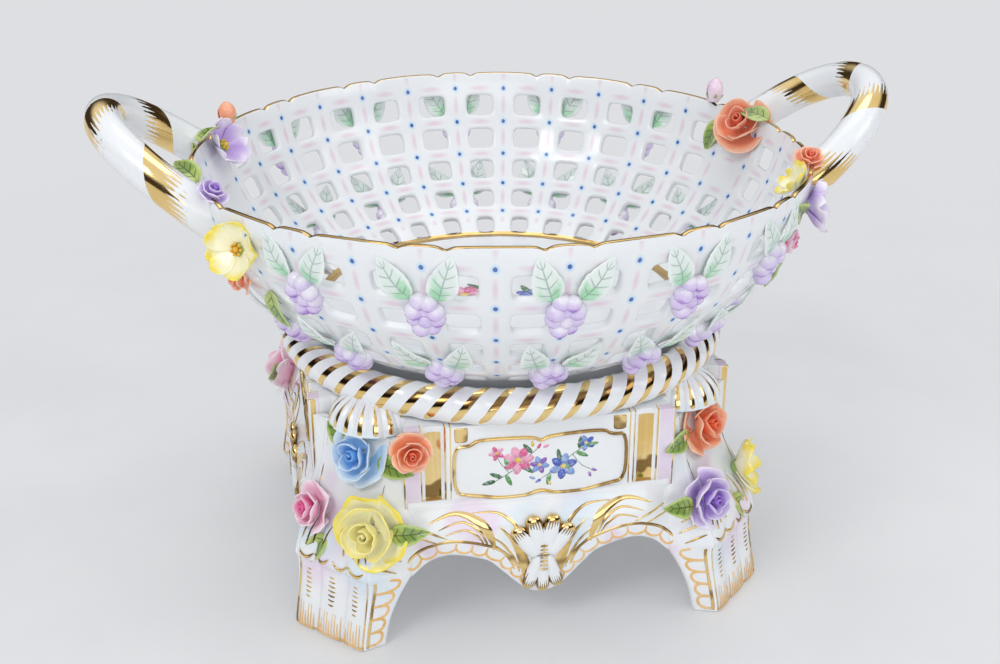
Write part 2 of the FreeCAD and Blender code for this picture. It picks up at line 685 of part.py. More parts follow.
def bud():
    """A closed bud standing on its stalk end."""
    profile_shares = [(0, 0), (0.55, 0), (0.92, 0.25), (1.0, 0.50), (0.80, 0.75), (0.42, 0.94), (0, 1.0)]
    return revolved([(r * BUD_RADIUS, z * BUD_HEIGHT) for r, z in profile_shares])


def on_bowl(shape, azimuth, height, lean=0):
    """A flat-backed piece laid on the outside of the bowl, clear of it by the seat gap."""
    angle = angle_at(height, WALL)
    radius, level = wall_point(angle, WALL + SEAT_GAP)
    slope = math.radians(angle)
    outward = Vector(math.cos(slope), 0, -math.sin(slope))
    return turned(upright(shape, Vector(radius, 0, level), outward, lean), azimuth)


def flower_forms():
    """Each flower form, made once."""
    return {"large": rose(LARGE_ROSE), "middle": rose(MIDDLE_ROSE), "plum": rose(PLUM_ROSE),
            "small": rose(SMALL_ROSE), "rosebud": rose(ROSEBUD), "open": open_flower(OPEN_FLOWER),
            "small_open": open_flower(SMALL_OPEN_FLOWER), "bud": bud()}


def sprig_places():
    """Azimuth and height of every sprig in front and behind."""
    places = {"front": [], "back": []}
    for side, middle in (("front", -QUARTER_TURN), ("back", QUARTER_TURN)):
        for height, steps in ((UPPER_SPRIG_HEIGHT, UPPER_SPRIG_STEPS), (LOWER_SPRIG_HEIGHT, LOWER_SPRIG_STEPS)):
            for step in range(-steps, steps + 1):
                places[side].append((middle + step * SPRIG_STEP_ANGLE, height))
    return places


def sprigs():
    """The paired leaves and the hanging grapes of the sprigs, as groups by side."""
    blade = leaf(SPRIG_LEAF_LENGTH, SPRIG_LEAF_WIDTH)
    bunch = grape_bunch()
    groups = {}
    for side, places in sprig_places().items():
        leaves = [on_bowl(blade, azimuth, height, lean) for azimuth, height in places for lean in (-36, 36)]
        groups["sprig_leaves_" + side] = leaves
        groups["sprig_grapes_" + side] = [on_bowl(bunch, azimuth, height) for azimuth, height in places]
    return groups


def leg_radius(height):
    """Distance of the leg's outer face from the axis at a height."""
    stops = [(0, FOOT_RADIUS), (KNEE_HEIGHT, FOOT_NECK_RADIUS), (KNEE_HEIGHT, KNEE_RADIUS),
             (DRUM_BOTTOM, KNEE_TOP_RADIUS), (LEG_WAIST_HEIGHT, LEG_WAIST_RADIUS), (LEG_TOP, LEG_TOP_RADIUS)]
    for (low, low_radius), (high, high_radius) in zip(stops, stops[1:]):
        if low <= height < high:
            return low_radius + (high_radius - low_radius) * (height - low) / (high - low)
    return LEG_TOP_RADIUS


def facing(azimuth, rise):
    """A unit direction from an azimuth and a rise above level, both in degrees."""
    return polar(math.cos(math.radians(rise)), azimuth, math.sin(math.radians(rise)))


def on_leg(shape, azimuth, across, height, yaw, rise, lean=0, lift=0):
    """A piece seated on the outer face of the leg at an azimuth, turned by yaw and rise."""
    point = polar(leg_radius(height) + lift, azimuth, height) + polar(across, azimuth + QUARTER_TURN, 0)
    return upright(shape, point, facing(azimuth + yaw, rise), lean)


def leg_flowers():
    """The blooms of each corner: name, form and place; places on the right corners are mirrored."""
    crown = (CROWN_ACROSS, CROWN_HEIGHT, 4, 18)
    big = (BIG_ACROSS, BIG_HEIGHT, 14, 12)
    far = (FAR_ACROSS, FAR_HEIGHT, -22, 14)
    return {
        "front_left": [("rose_blue", "middle", crown), ("rose_yellow", "large", big), ("rose_pink", "plum", far)],
        "front_right": [("rose_orange", "middle", crown), ("rose_purple", "middle", big),
                        ("open_yellow", "open", far)],
        "back_right": [("rose_pink", "middle", crown), ("rose_blue", "middle", big), ("open_yellow", "open", far)],
        "back_left": [("rose_yellow", "middle", crown), ("rose_pink", "large", big), ("rose_blue", "plum", far)],
    }


def leg_leaves():
    """Places of the four leaves of a corner: across, height, yaw, rise and lean."""
    beside_share = 0.45
    beside = LEG_HALF_WIDTH * beside_share
    return [(CROWN_ACROSS + beside, CROWN_HEIGHT, 6, 12, -96), (BIG_ACROSS + beside, BIG_HEIGHT, 14, 16, -74),
            (FAR_ACROSS + beside, FAR_HEIGHT - beside, -6, 16, 150), (CROWN_ACROSS - beside, CROWN_HEIGHT, -9, 14, 44)]


def corner_pieces(leg_solids, room, forms):
    """Flowers and leaves of the four corners, each cut where it meets what carries it."""
    pieces = {}
    for name, azimuth in zip(CORNER_NAMES, CORNER_AZIMUTHS):
        sign = -1 if name.endswith("right") else 1
        carriers = room + leg_solids
        for flower, form, (across, height, yaw, rise) in leg_flowers()[name]:
            bloom = on_leg(forms[form], azimuth, sign * across, height, sign * yaw, rise, 0, -FLOWER_SINK)
            bloom = cut_by_near(bloom, carriers)
            pieces[flower + "_" + name] = [bloom]
            carriers = carriers + [bloom]
        if name == "front_left":
            spot = side_point(-CORNER_BLOOM_ACROSS, DRUM_HALF, CORNER_BLOOM_HEIGHT)
            bloom = cut_by_near(upright(forms["small"], spot, facing(-QUARTER_TURN, 6)), carriers)
            pieces["rosebud_orange_" + name] = [bloom]
            carriers = carriers + [bloom]
        blade = leaf(FLOWER_LEAF_LENGTH, FLOWER_LEAF_WIDTH)
        leaves = []
        for across, height, yaw, rise, lean in leg_leaves():
            plate = on_leg(blade, azimuth, sign * across, height, sign * yaw, rise, sign * lean, 0)
            plate = cut_by_near(plate, carriers)
            leaves.append(plate)
            carriers = carriers + [plate]
        pieces["leaves_leg_" + name] = leaves
    return pieces


def bowl_flowers():
    """The blooms by the handles: form, seat azimuth, seat radius and height, facing azimuth and rise."""
    inner = (INNER_WALL_RADIUS, INNER_WALL_HEIGHT)
    outer = (OUTER_WALL_RADIUS, OUTER_WALL_HEIGHT)
    low = (LOW_WALL_RADIUS, LOW_WALL_HEIGHT)
    rim = (RIM_RADIUS, RIM_HEIGHT)
    return {
        "rose_orange_right": ("large", 15.5, inner, -140, 38),
        "bud_pink_right": ("bud", 27, rim, 27, 82),
        "open_yellow_right": ("small_open", -27, inner, 165, 40),
        "rosebud_orange_right": ("rosebud", -20.5, rim, -95, 60),
        "open_purple_right": ("open", -27, outer, -24, 8),
        "rose_pink_right": ("small", -24, low, -34, -12),
        "open_purple_left": ("open", 160, inner, -30, 30),
        "bud_orange_left": ("bud", 152, rim, 152, 84),
        "rosebud_purple_left": ("rosebud", -158.5, rim, -40, 58),
        "open_yellow_left": ("open", -149, outer, -126, 12),
        "rose_orange_left": ("small", -156, low, -160, -14),
    }


def bowl_leaves():
    """Leaves by the handles: seat azimuth, seat radius and height, facing azimuth, rise and lean."""
    outer = (OUTER_WALL_RADIUS, OUTER_WALL_HEIGHT)
    low = (LOW_WALL_RADIUS, LOW_WALL_HEIGHT)
    inner = (INNER_WALL_RADIUS, INNER_WALL_HEIGHT)
    rim = (RIM_RADIUS, RIM_HEIGHT)
    return {
        "leaves_handle_left": [(168, rim, 168, 70, 70), (-150, inner, 25, 12, 150), (-166, rim, -120, 60, 60),
                               (-162, outer, -150, -10, 40), (-146, low, -140, -20, 190), (163, outer, 160, -12, -30)],
        "leaves_handle_right": [(8, rim, -150, 60, 90), (23, inner, -150, 10, 160), (-30, low, -34, -18, 170),
                                (-32, outer, -40, -14, 60), (24, outer, 30, -12, 160)],
    }


def basket_pieces(wall, handles, forms):
    """Flowers and leaves by the handles, each cut where it meets what carries it."""
    pieces = {}
    carriers = [wall] + handles
    for name, (form, azimuth, (radius, height), face_azimuth, rise) in bowl_flowers().items():
        normal = facing(face_azimuth, rise)
        bloom = placed(forms[form], polar(radius, azimuth, height) - normal * FLOWER_SINK, normal)
        bloom = cut_by_near(bloom, carriers)
        pieces[name] = [bloom]
        carriers = carriers + [bloom]
    blade = leaf(FLOWER_LEAF_LENGTH, FLOWER_LEAF_WIDTH)
    for name, places in bowl_leaves().items():
        pieces[name] = []
        for azimuth, (radius, height), face_azimuth, rise, lean in places:
            plate = upright(blade, polar(radius, azimuth, height), facing(face_azimuth, rise), lean)
            plate = cut_by_near(plate, carriers)
            pieces[name].append(plate)
            carriers = carriers + [plate]
    return pieces


def write(name, solids):
    """Write one named piece, or a group of like pieces, to its own file."""
    shape = solids[0] if len(solids) == 1 else Part.makeCompound(solids)
    shape.exportStep("parts/%s.step" % name)
    print(name, len(shape.Solids), "solid(s), valid", shape.isValid(), "volume", round(shape.Volume))


def main():
    """Build every piece and write it."""
    os.makedirs("parts", exist_ok=True)
    pieces = {"basket_bowl": [basket_bowl()], "handle_right": [handle(0)], "handle_left": [handle(HALF_TURN)],
              "stand_drum": [stand_drum()], "rope_ring": [rope_ring()]}
    first_leg = leg(0)
    legs = [turned(first_leg, azimuth) for azimuth in CORNER_AZIMUTHS]
    for name, solid in zip(CORNER_NAMES, legs):
        pieces["leg_" + name] = [solid]
    aprons = []
    shell = apron_shell(0)
    frame = panel_frame(0)
    for name, azimuth in zip(SIDE_NAMES, SIDE_AZIMUTHS):
        aprons.append(apron(azimuth, legs))
        pieces["apron_" + name] = [aprons[-1]]
        pieces["apron_shell_" + name] = [turned(shell, azimuth)]
        pieces["panel_frame_" + name] = [turned(frame, azimuth)]
    ring_room = Part.makeTorus(ROPE_RADIUS, ROPE_TUBE + SEAT_GAP, Vector(0, 0, rope_height()))
    drum_room = prism(drum_outline(0), DRUM_BOTTOM, rope_height())
    corner = CORNER_AZIMUTHS[0]
    cap = shell_cap(corner, [ring_room, drum_room])
    caps = [turned(cap, azimuth - corner) for azimuth in CORNER_AZIMUTHS]
    for name, solid in zip(CORNER_NAMES, caps):
        pieces["shell_cap_" + name] = [solid]
    forms = flower_forms()
    pieces.update(corner_pieces(legs, [ring_room, drum_room] + aprons + caps, forms))
    wall = bowl_section().revolve(Vector(0, 0, 0), UP, FULL_TURN)
    pieces.update(basket_pieces(wall, pieces["handle_right"] + pieces["handle_left"], forms))
    pieces.update(sprigs())
    for name, solids in pieces.items():
        write(name, solids)


main()
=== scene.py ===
"""Visual model of a reticulated porcelain basket that rests on its footed stand.

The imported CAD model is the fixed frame. Each class builds one sub-assembly in millimetres, in the
frame's own axes: +Z up, the front towards -Y and the handles along X.
"""

import logging
from dataclasses import dataclass
from enum import Enum
from math import asin, atan2, cos, degrees, exp, hypot, inf, pi, radians, sin, sqrt, tau
from typing import Callable, Optional, Sequence, Union

import bmesh
import bpy
from bpy.types import Material, Mesh, Node, NodeSocket, NodeTree, Object
from mathutils import Matrix, Vector


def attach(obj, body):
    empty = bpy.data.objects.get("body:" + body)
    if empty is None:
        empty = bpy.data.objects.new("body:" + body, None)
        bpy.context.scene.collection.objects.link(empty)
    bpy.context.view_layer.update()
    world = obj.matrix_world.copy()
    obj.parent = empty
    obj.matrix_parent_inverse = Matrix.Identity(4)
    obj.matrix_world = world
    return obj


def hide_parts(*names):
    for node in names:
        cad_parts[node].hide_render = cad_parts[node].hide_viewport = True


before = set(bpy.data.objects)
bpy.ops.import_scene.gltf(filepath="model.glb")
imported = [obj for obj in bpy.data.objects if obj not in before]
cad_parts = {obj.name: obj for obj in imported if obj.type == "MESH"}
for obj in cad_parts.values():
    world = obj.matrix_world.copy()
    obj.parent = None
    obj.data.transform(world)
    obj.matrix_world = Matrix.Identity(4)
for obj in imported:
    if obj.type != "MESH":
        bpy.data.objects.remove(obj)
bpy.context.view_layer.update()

Place = Union[Vector, Sequence[float]]
Tone = tuple[float, float, float, float]
Value = Union["Signal", NodeSocket, float, Tone]
Painted = tuple[Value, Optional[Value]]
Pair = tuple[float, float]
Triple = tuple[float, float, float]
Station = tuple[Vector, Vector, float]

MM = 0.001
MERGE = 2e-6
UP = Vector((0, 0, 1))
log = logging.getLogger("basket")


class Body(Enum):
    """The two bodies of the model."""

    STAND = "stand"
    BASKET = "basket"


class Slot(Enum):
    """The record's material slots."""

    WHITE = "white_porcelain"
    GILDED = "gilded_porcelain"
    BLUE = "blue_petal"
    PINK = "pink_petal"
    YELLOW = "yellow_petal"
    ORANGE = "orange_petal"
    PURPLE = "purple_petal"
    LEAF = "green_leaf"
    PALE_LEAF = "pale_leaf"
    GRAPE = "lilac_grape"


class Side(Enum):
    """The four sides of the stand, by azimuth in degrees."""

    FRONT = -90
    RIGHT = 0
    BACK = 90
    LEFT = 180


class Corner(Enum):
    """The four corners of the stand, by azimuth in degrees."""

    FRONT_LEFT = -135
    FRONT_RIGHT = -45
    BACK_RIGHT = 45
    BACK_LEFT = 135

    @property
    def mirror(self) -> int:
        """-1 at the right corners, whose flowers are set the other way round."""
        return -1 if self in (Corner.FRONT_RIGHT, Corner.BACK_RIGHT) else 1


def srgb(red: float, green: float, blue: float) -> Tone:
    """Turns a colour in steps of 0 to 255 into linear values.

    Args:
        red, green, blue: The steps.

    Returns:
        The linear colour with full opacity.
    """

    def linear(step: float) -> float:
        """One channel."""
        share = step / 255
        return share / 12.92 if share <= 0.04045 else ((share + 0.055) / 1.055) ** 2.4
    return (linear(red), linear(green), linear(blue), 1.0)


WHITE = srgb(236, 238, 240)
GOLD = (0.86, 0.6, 0.22, 1.0)
PALE_GOLD = (0.93, 0.71, 0.34, 1.0)
# The dark brown of a painted reflection in the gold.
REFLECTION_BROWN = (0.17, 0.085, 0.022, 1.0)


def ease(value: float, low: float, high: float) -> float:
    """A smooth rise from 0 at low to 1 at high."""
    share = min(max((value - low) / (high - low), 0.0), 1.0)
    return share * share * (3 - 2 * share)


def mixed(low: float, high: float, share: float) -> float:
    """The value between low and high at a share."""
    return low + (high - low) * share


def polar(radius: float, azimuth: float, height: float = 0.0) -> Vector:
    """A point at a distance from the axis, an azimuth in degrees and a height."""
    angle = radians(azimuth)
    return Vector((radius * cos(angle), radius * sin(angle), height))


def facing(azimuth: float, rise: float) -> Vector:
    """A unit direction from an azimuth and a rise above level, both in degrees."""
    return polar(cos(radians(rise)), azimuth, sin(radians(rise)))


def turn(azimuth: float) -> Matrix:
    """A turn about the upright axis through the origin."""
    return Matrix.Rotation(radians(azimuth), 4, "Z")


def seat(point: Vector, normal: Vector, lean: float = 0.0) -> Matrix:
    """Where an applied piece is stuck on.

    Args:
        point: The middle of the seat.
        normal: The way the piece's own +Z faces.
        lean: The turn about the normal, in degrees.

    Returns:
        The placement, with the piece's own +Y as near to upward as it can be.
    """
    across = UP.cross(normal).normalized()
    upward = normal.cross(across).normalized()
    basis = Matrix((across, upward, normal)).transposed().to_4x4()
    return Matrix.Translation(point) @ basis @ Matrix.Rotation(radians(lean), 4, "Z")


def curve_through(points: Sequence[Place], steps: int, closed: bool = False) -> list[Vector]:
    """A smooth line through points of any number of coordinates.

    Args:
        points: The points to pass.
        steps: The parts that each stretch is divided into.
        closed: Whether the line comes back to its start.

    Returns:
        The points of the line.
    """
    fixed = [Vector(p) for p in points]
    count = len(fixed)

    def pick(index: int) -> Vector:
        """A fixed point, with the ends repeated or the loop carried on."""
        return fixed[index % count] if closed else fixed[min(max(index, 0), count - 1)]
    line = []
    for span in range(count if closed else count - 1):
        a, b, c, d = (pick(span + k) for k in (-1, 0, 1, 2))
        for step in range(steps):
            t = step / steps
            line.append((b * 2 + (c - a) * t + (a * 2 - b * 5 + c * 4 - d) * t * t + (b * 3 - a - c * 3 + d)
                * t ** 3) * 0.5)
    return line if closed else line + [fixed[-1].copy()]


def softened(points: Sequence[Vector], passes: int = 2) -> list[Vector]:
    """A closed outline whose corners are cut back a few times."""
    line = [p.copy() for p in points]
    for _ in range(passes):
        line = [p for a, b in zip(line, line[1:] + line[:1]) for p in (a.lerp(b, 0.22), a.lerp(b, 0.78))]
    return line


class Draft:
    """Gathers the points, faces and per-point values of one mesh, in millimetres."""

    def __init__(self) -> None:
        """Starts with nothing in it."""
        self.points: list[Vector] = []
        self.faces: list[tuple[int, ...]] = []
        self.values: dict[str, dict[int, float]] = {}

    def add(self, point: Place, **values: float) -> int:
        """Adds a point.

        Args:
            point: Its place.
            values: Its values by attribute name.

        Returns:
            Its number.
        """
        index = len(self.points)
        self.points.append(Vector(point))
        for name, value in values.items():
            self.values.setdefault(name, {})[index] = value
        return index

    def grid(self, rows: Sequence[Sequence[int]], closed: bool = False) -> None:
        """Joins rows of point numbers by four-sided faces; closed rows come back to their start."""
        for here, after in zip(rows, rows[1:]):
            size = len(here)
            for column in range(size if closed else size - 1):
                beside = (column + 1) % size
                self.faces.append((here[column], here[beside], after[beside], after[column]))

    def fan(self, ring: Sequence[int], point: Place, **values: float) -> None:
        """Closes a ring of points with triangles that meet at one more point."""
        middle = self.add(point, **values)
        for a, b in zip(ring, list(ring[1:]) + [ring[0]]):
            self.faces.append((a, b, middle))

    def merge(self, other: "Draft", place: Optional[Matrix] = None) -> None:
        """Takes in another draft.

        Args:
            other: The draft to copy.
            place: Where it goes.
        """
        first = len(self.points)
        self.points += [place @ p if place else p.copy() for p in other.points]
        self.faces += [tuple((first + index for index in face)) for face in other.faces]
        for name, numbers in other.values.items():
            held = self.values.setdefault(name, {})
            held.update({first + index: value for index, value in numbers.items()})

    def take(self, mesh: Mesh, names: Sequence[str]) -> None:
        """Takes in a plain mesh in metres, with the named values of its points."""
        first = len(self.points)
        self.points += [v.co / MM for v in mesh.vertices]
        self.faces += [tuple((first + index for index in face.vertices)) for face in mesh.polygons]
        for name in names:
            held = self.values.setdefault(name, {})
            held.update({first + i: item.value for i, item in enumerate(mesh.attributes[name].data)})

    def build(self, name: str, material: Material, sharp: Optional[float] = None, sheet: bool = False) -> Object:
        """Makes the mesh object.

        Args:
            name: The piece's name.
            material: Its finish.
            sharp: The angle in degrees past which an edge stays sharp.
            sheet: Whether the faces are open sheets that keep their own sides.

        Returns:
            The object, at the origin.
        """
        mesh = bpy.data.meshes.new(name)
        mesh.from_pydata([tuple(p * MM) for p in self.points], [], self.faces)
        for key, numbers in self.values.items():
            layer = mesh.attributes.new(key, "FLOAT", "POINT")
            layer.data.foreach_set("value", [numbers.get(i, 0.0) for i in range(len(self.points))])
        work = bmesh.new()
        work.from_mesh(mesh)
        bmesh.ops.remove_doubles(work, verts=work.verts, dist=MERGE)
        if not sheet:
            bmesh.ops.recalc_face_normals(work, faces=work.faces)
        work.to_mesh(mesh)
        work.free()
        mesh.shade_smooth()
        if sharp:
            mesh.set_sharp_from_angle(angle=radians(sharp))
        mesh.materials.append(material)
        piece = bpy.data.objects.new(name, mesh)
        bpy.context.scene.collection.objects.link(piece)
        return piece


def ribbon(draft: Draft, stations: Sequence[Station], rise: float, closed: bool = False) -> None:
    """Lays a domed strip along a line, closed underneath.

    Args:
        draft: Takes the strip.
        stations: Point, surface normal and half width along the line.
        rise: The height of the strip's middle.
        closed: Whether the line comes back to its start.
    """
    profile = ((-1.0, -0.3), (-0.72, 0.6), (0.0, 1.0), (0.72, 0.6), (1.0, -0.3))
    count = len(stations)
    rows = []
    for index, (point, normal, half) in enumerate(stations):
        before = stations[index - 1 if closed or index else 0][0]
        after = stations[(index + 1) % count if closed else min(index + 1, count - 1)][0]
        sideways = (after - before).cross(normal).normalized()
        rows.append([draft.add(point + sideways * x * half + normal * y * rise) for x, y in profile])
    draft.grid(rows + [rows[0]] if closed else rows, closed=True)
    if not closed:
        draft.faces += [tuple(rows[0]), tuple(rows[-1])]


def knob(draft: Draft, centre: Vector, radius: float, squash: float = 1.0, **values: float) -> None:
    """A small round bead with ten sides."""
    sides = 10
    rows = []
    for latitude in (-55, -20, 20, 55):
        level = sin(radians(latitude)) * radius * squash
        reach = cos(radians(latitude)) * radius
        rows.append([draft.add(centre + polar(reach, 360 * i / sides, level), **values) for i in range(sides)])
    draft.grid(rows, closed=True)
    draft.fan(rows[0], centre - UP * radius * squash, **values)
    draft.fan(rows[-1], centre + UP * radius * squash, **values)


def rounded(piece: Object, levels: int = 1) -> Object:
    """Gives a piece a live subdivision surface."""
    modifier = piece.modifiers.new("rounding", "SUBSURF")
    modifier.levels = modifier.render_levels = levels
    return piece


def thickened(piece: Object, thickness: float) -> Object:
    """Gives open sheets a live wall thickness in millimetres."""
    modifier = piece.modifiers.new("wall", "SOLIDIFY")
    modifier.thickness = thickness * MM
    modifier.offset = 0.0
    return piece


def settle(piece: Object, body: Body, slot: Slot, *nodes: str) -> Object:
    """Fixes a finished piece to the frame.

    Args:
        piece: The piece.
        body: The body that it moves with.
        slot: The record's slot for its finish; not used.
        nodes: The CAD nodes that it stands for.

    Returns:
        The piece.
    """
    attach(piece, body.value)
    if nodes:
        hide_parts(*nodes)
    log.info("%s: %d faces, on the %s", piece.name, len(piece.data.polygons), body.value)
    return piece


# Shading


class Signal:
    """A value that varies over the surface, and takes plain arithmetic."""

    def __init__(self, shade: "Shade", socket: NodeSocket) -> None:
        """Holds the output that carries the value."""
        self.shade, self.socket = (shade, socket)

    def __add__(self, other: Value) -> "Signal":
        """The sum."""
        return self.shade.maths("ADD", self, other)

    def __mul__(self, other: Value) -> "Signal":
        """The product."""
        return self.shade.maths("MULTIPLY", self, other)
    __radd__, __rmul__ = (__add__, __mul__)

    def __sub__(self, other: Value) -> "Signal":
        """What is left."""
        return self.shade.maths("SUBTRACT", self, other)

    def __rsub__(self, other: Value) -> "Signal":
        """What is left of the other."""
        return self.shade.maths("SUBTRACT", other, self)

    def __truediv__(self, other: Value) -> "Signal":
        """The share."""
        return self.shade.maths("DIVIDE", self, other)

    def __abs__(self) -> "Signal":
        """The size without its sign."""
        return self.shade.maths("ABSOLUTE", self)


class Shade:
    """Adds nodes to one tree."""

    def __init__(self, tree: NodeTree) -> None:
        """Works on a material's or a group's tree."""
        self.tree = tree

    def node(self, kind: str, **settings: object) -> Node:
        """Adds a node and sets its own settings."""
        node = self.tree.nodes.new(kind)
        for name, value in settings.items():
            setattr(node, name, value)
        return node

    def feed(self, socket: NodeSocket, value: Value) -> None:
        """Links a socket or sets its value."""
        if isinstance(value, Signal):
            value = value.socket
        if isinstance(value, NodeSocket):
            self.tree.links.new(value, socket)
        else:
            socket.default_value = value

    def maths(self, operation: str, *values: Value) -> Signal:
        """One step of arithmetic."""
        node = self.node("ShaderNodeMath", operation=operation)
        for socket, value in zip(node.inputs, values):
            self.feed(socket, value)
        return Signal(self, node.outputs[0])

    def hypot(self, a: Signal, b: Signal) -> Signal:
        """The length of a flat offset."""
        return self.maths("SQRT", a * a + b * b)

    def smooth(self, value: Value, low: Value, high: Value) -> Signal:
        """A smooth rise from 0 at low to 1 at high."""
        node = self.node("ShaderNodeMapRange", interpolation_type="SMOOTHSTEP")
        for name, setting in (("Value", value), ("From Min", low), ("From Max", high)):
            self.feed(node.inputs[name], setting)
        return Signal(self, node.outputs["Result"])

    def below(self, value: Value, limit: float, edge: float) -> Signal:
        """1 well below a limit and 0 above it, with a soft edge."""
        return 1.0 - self.smooth(value, limit - edge, limit + edge)

    def mix(self, share: Value, low: Value, high: Value) -> Signal:
        """A blend of two colours."""
        node = self.node("ShaderNodeMix", data_type="RGBA")
        for index, value in ((0, share), (6, low), (7, high)):
            self.feed(node.inputs[index], value)
        return Signal(self, node.outputs[2])

    def noise(self, scale: float, detail: float = 2.0) -> Signal:
        """Soft noise on the object's own coordinates, about one half on average."""
        node = self.node("ShaderNodeTexNoise")
        place = self.node("ShaderNodeTexCoord")
        self.feed(node.inputs["Vector"], place.outputs["Object"])
        self.feed(node.inputs["Scale"], scale)
        self.feed(node.inputs["Detail"], detail)
        return Signal(self, node.outputs[0])

    def attribute(self, name: str) -> Signal:
        """A value that the mesh carries."""
        return Signal(self, self.node("ShaderNodeAttribute", attribute_name=name).outputs["Fac"])

    def place(self) -> tuple[Signal, Signal, Signal]:
        """The object's coordinates in millimetres."""
        split = self.node("ShaderNodeSeparateXYZ")
        self.feed(split.inputs[0], self.node("ShaderNodeTexCoord").outputs["Object"])
        x, y, z = (self.maths("MULTIPLY", socket, 1 / MM) for socket in split.outputs)
        return (x, y, z)

    def group(self, tree: NodeTree, **values: Value) -> Node:
        """Places a shared group and feeds its inputs by name."""
        node = self.node("ShaderNodeGroup", node_tree=tree)
        for name, value in values.items():
            self.feed(node.inputs[name], value)
        return node


def shared_group(name: str, inputs: Sequence[tuple[str, str]], outputs: Sequence[tuple[str, str]],
        fill: Callable[[Shade, Node], dict[str, Value]]) -> NodeTree:
    """Builds a shader node group once.

    Args:
        name: The group's name.
        inputs: Names and kinds of its inputs.
        outputs: Names and kinds of its outputs.
        fill: Adds the nodes and gives the value of each output.

    Returns:
        The group's tree.
    """
    if name in bpy.data.node_groups:
        return bpy.data.node_groups[name]
    tree = bpy.data.node_groups.new(name, "ShaderNodeTree")
    for way, sockets in (("INPUT", inputs), ("OUTPUT", outputs)):
        for title, kind in sockets:
            tree.interface.new_socket(name=title, in_out=way, socket_type="NodeSocket" + kind)
    shade = Shade(tree)
    results = fill(shade, shade.node("NodeGroupInput"))
    end = shade.node("NodeGroupOutput")
    for title, value in results.items():
        shade.feed(end.inputs[title], value)
    return tree


def glaze_group() -> NodeTree:
    """Clear glaze: a faint change of tone, small specks and a soft ripple."""

    def fill(shade: Shade, start: Node) -> dict[str, Value]:
        """The nodes of the glaze."""
        pooled = shade.smooth(shade.noise(26.0), 0.35, 0.7) * 0.1
        toned = shade.mix(pooled, start.outputs["Color"], srgb(214, 224, 232))
        speck = shade.smooth(shade.noise(1400.0), 0.74, 0.8) * 0.25
        rough = start.outputs["Roughness"] + shade.noise(90.0) * 0.06
        return {"Color": shade.mix(speck, toned, srgb(150, 140, 128)), "Roughness": rough,
            "Height": shade.noise(70.0) + shade.noise(420.0) * 0.16}
    sides = [("Color", "Color"), ("Roughness", "Float")]
    return shared_group("Glaze", sides, sides + [("Height", "Float")], fill)


def gilding_group() -> NodeTree:
    """Burnished gold laid on glaze, thin and worn at its edges, and turned dark brown by a painted reflection of
    the dark room.
    """

    def fill(shade: Shade, start: Node) -> dict[str, Value]:
        """The nodes of the gilding."""
        ragged = (shade.noise(900.0, 3.0) - 0.5) * 0.3
        mask = shade.smooth(start.outputs["Mask"] + ragged, 0.4, 0.6)
        bright = shade.mix(shade.smooth(shade.noise(60.0, 2.0), 0.3, 0.7), GOLD, PALE_GOLD)
        # Painted reflection: the gold is turned dark brown where the room would mirror dark in it.
        tone = shade.mix(start.outputs["Dark"], bright, REFLECTION_BROWN)
        rough = 0.09 + shade.noise(260.0) * 0.08
        change = mask * (rough - start.outputs["Roughness"])
        return {"Color": shade.mix(mask, start.outputs["Color"], tone), "Metallic": mask,
            "Roughness": start.outputs["Roughness"] + change}
    base = [("Color", "Color"), ("Roughness", "Float")]
    return shared_group("Gilding", [("Mask", "Float"), ("Dark", "Float")] + base,
        base + [("Metallic", "Float")], fill)


@dataclass(frozen=True)
class Finish:
    """A glazed finish; its subclasses say what is painted under or on the glaze."""

    name: str
    roughness: float = 0.12
    ripple: float = 0.22

    def paint(self, shade: Shade) -> Painted:
        """Gives the colour and, where there is gold, its mask."""
        return (WHITE, None)

    def dark(self, shade: Shade) -> Value:
        """How far the gold is turned dark brown, from 0 to 1: a painted reflection of the dark room."""
        return 0.0

    def material(self) -> Material:
        """Makes the material on its first call and finds it again later."""
        if self.name in bpy.data.materials:
            return bpy.data.materials[self.name]
        material = bpy.data.materials.new(self.name)
        material.use_nodes = True
        material.node_tree.nodes.clear()
        shade = Shade(material.node_tree)
        surface = shade.node("ShaderNodeBsdfPrincipled")
        colour, gilt = self.paint(shade)
        glaze = shade.group(glaze_group(), Color=colour, Roughness=self.roughness)
        top = glaze
        if gilt is not None:
            # Each finish gives the gold's painted dark reflection.
            top = shade.group(gilding_group(), Mask=gilt, Dark=self.dark(shade), Color=glaze.outputs["Color"],
                Roughness=glaze.outputs["Roughness"])
            shade.feed(surface.inputs["Metallic"], top.outputs["Metallic"])
        shade.feed(surface.inputs["Base Color"], top.outputs["Color"])
        shade.feed(surface.inputs["Roughness"], top.outputs["Roughness"])
        bump = shade.node("ShaderNodeBump")
        bump.inputs["Strength"].default_value = self.ripple
        bump.inputs["Distance"].default_value = 0.5 * MM
        shade.feed(bump.inputs["Height"], glaze.outputs["Height"])
        shade.feed(surface.inputs["Normal"], bump.outputs["Normal"])
        end = shade.node("ShaderNodeOutputMaterial")
        shade.feed(end.inputs["Surface"], surface.outputs["BSDF"])
        return material


@dataclass(frozen=True)
class Burnished(Finish):
    """Gold all over, with the glaze showing where it is rubbed."""

    name: str = "burnished_gold"

    def paint(self, shade: Shade) -> Painted:
        """White under gold that is worn through in a few specks."""
        return (WHITE, shade.below(shade.noise(700.0, 3.0), 0.74, 0.03))

    def dark(self, shade: Shade) -> Value:
        """Painted dark reflection: brown in random patches."""
        return shade.smooth(shade.noise(75.0, 2.0), 0.47, 0.58) * 0.72


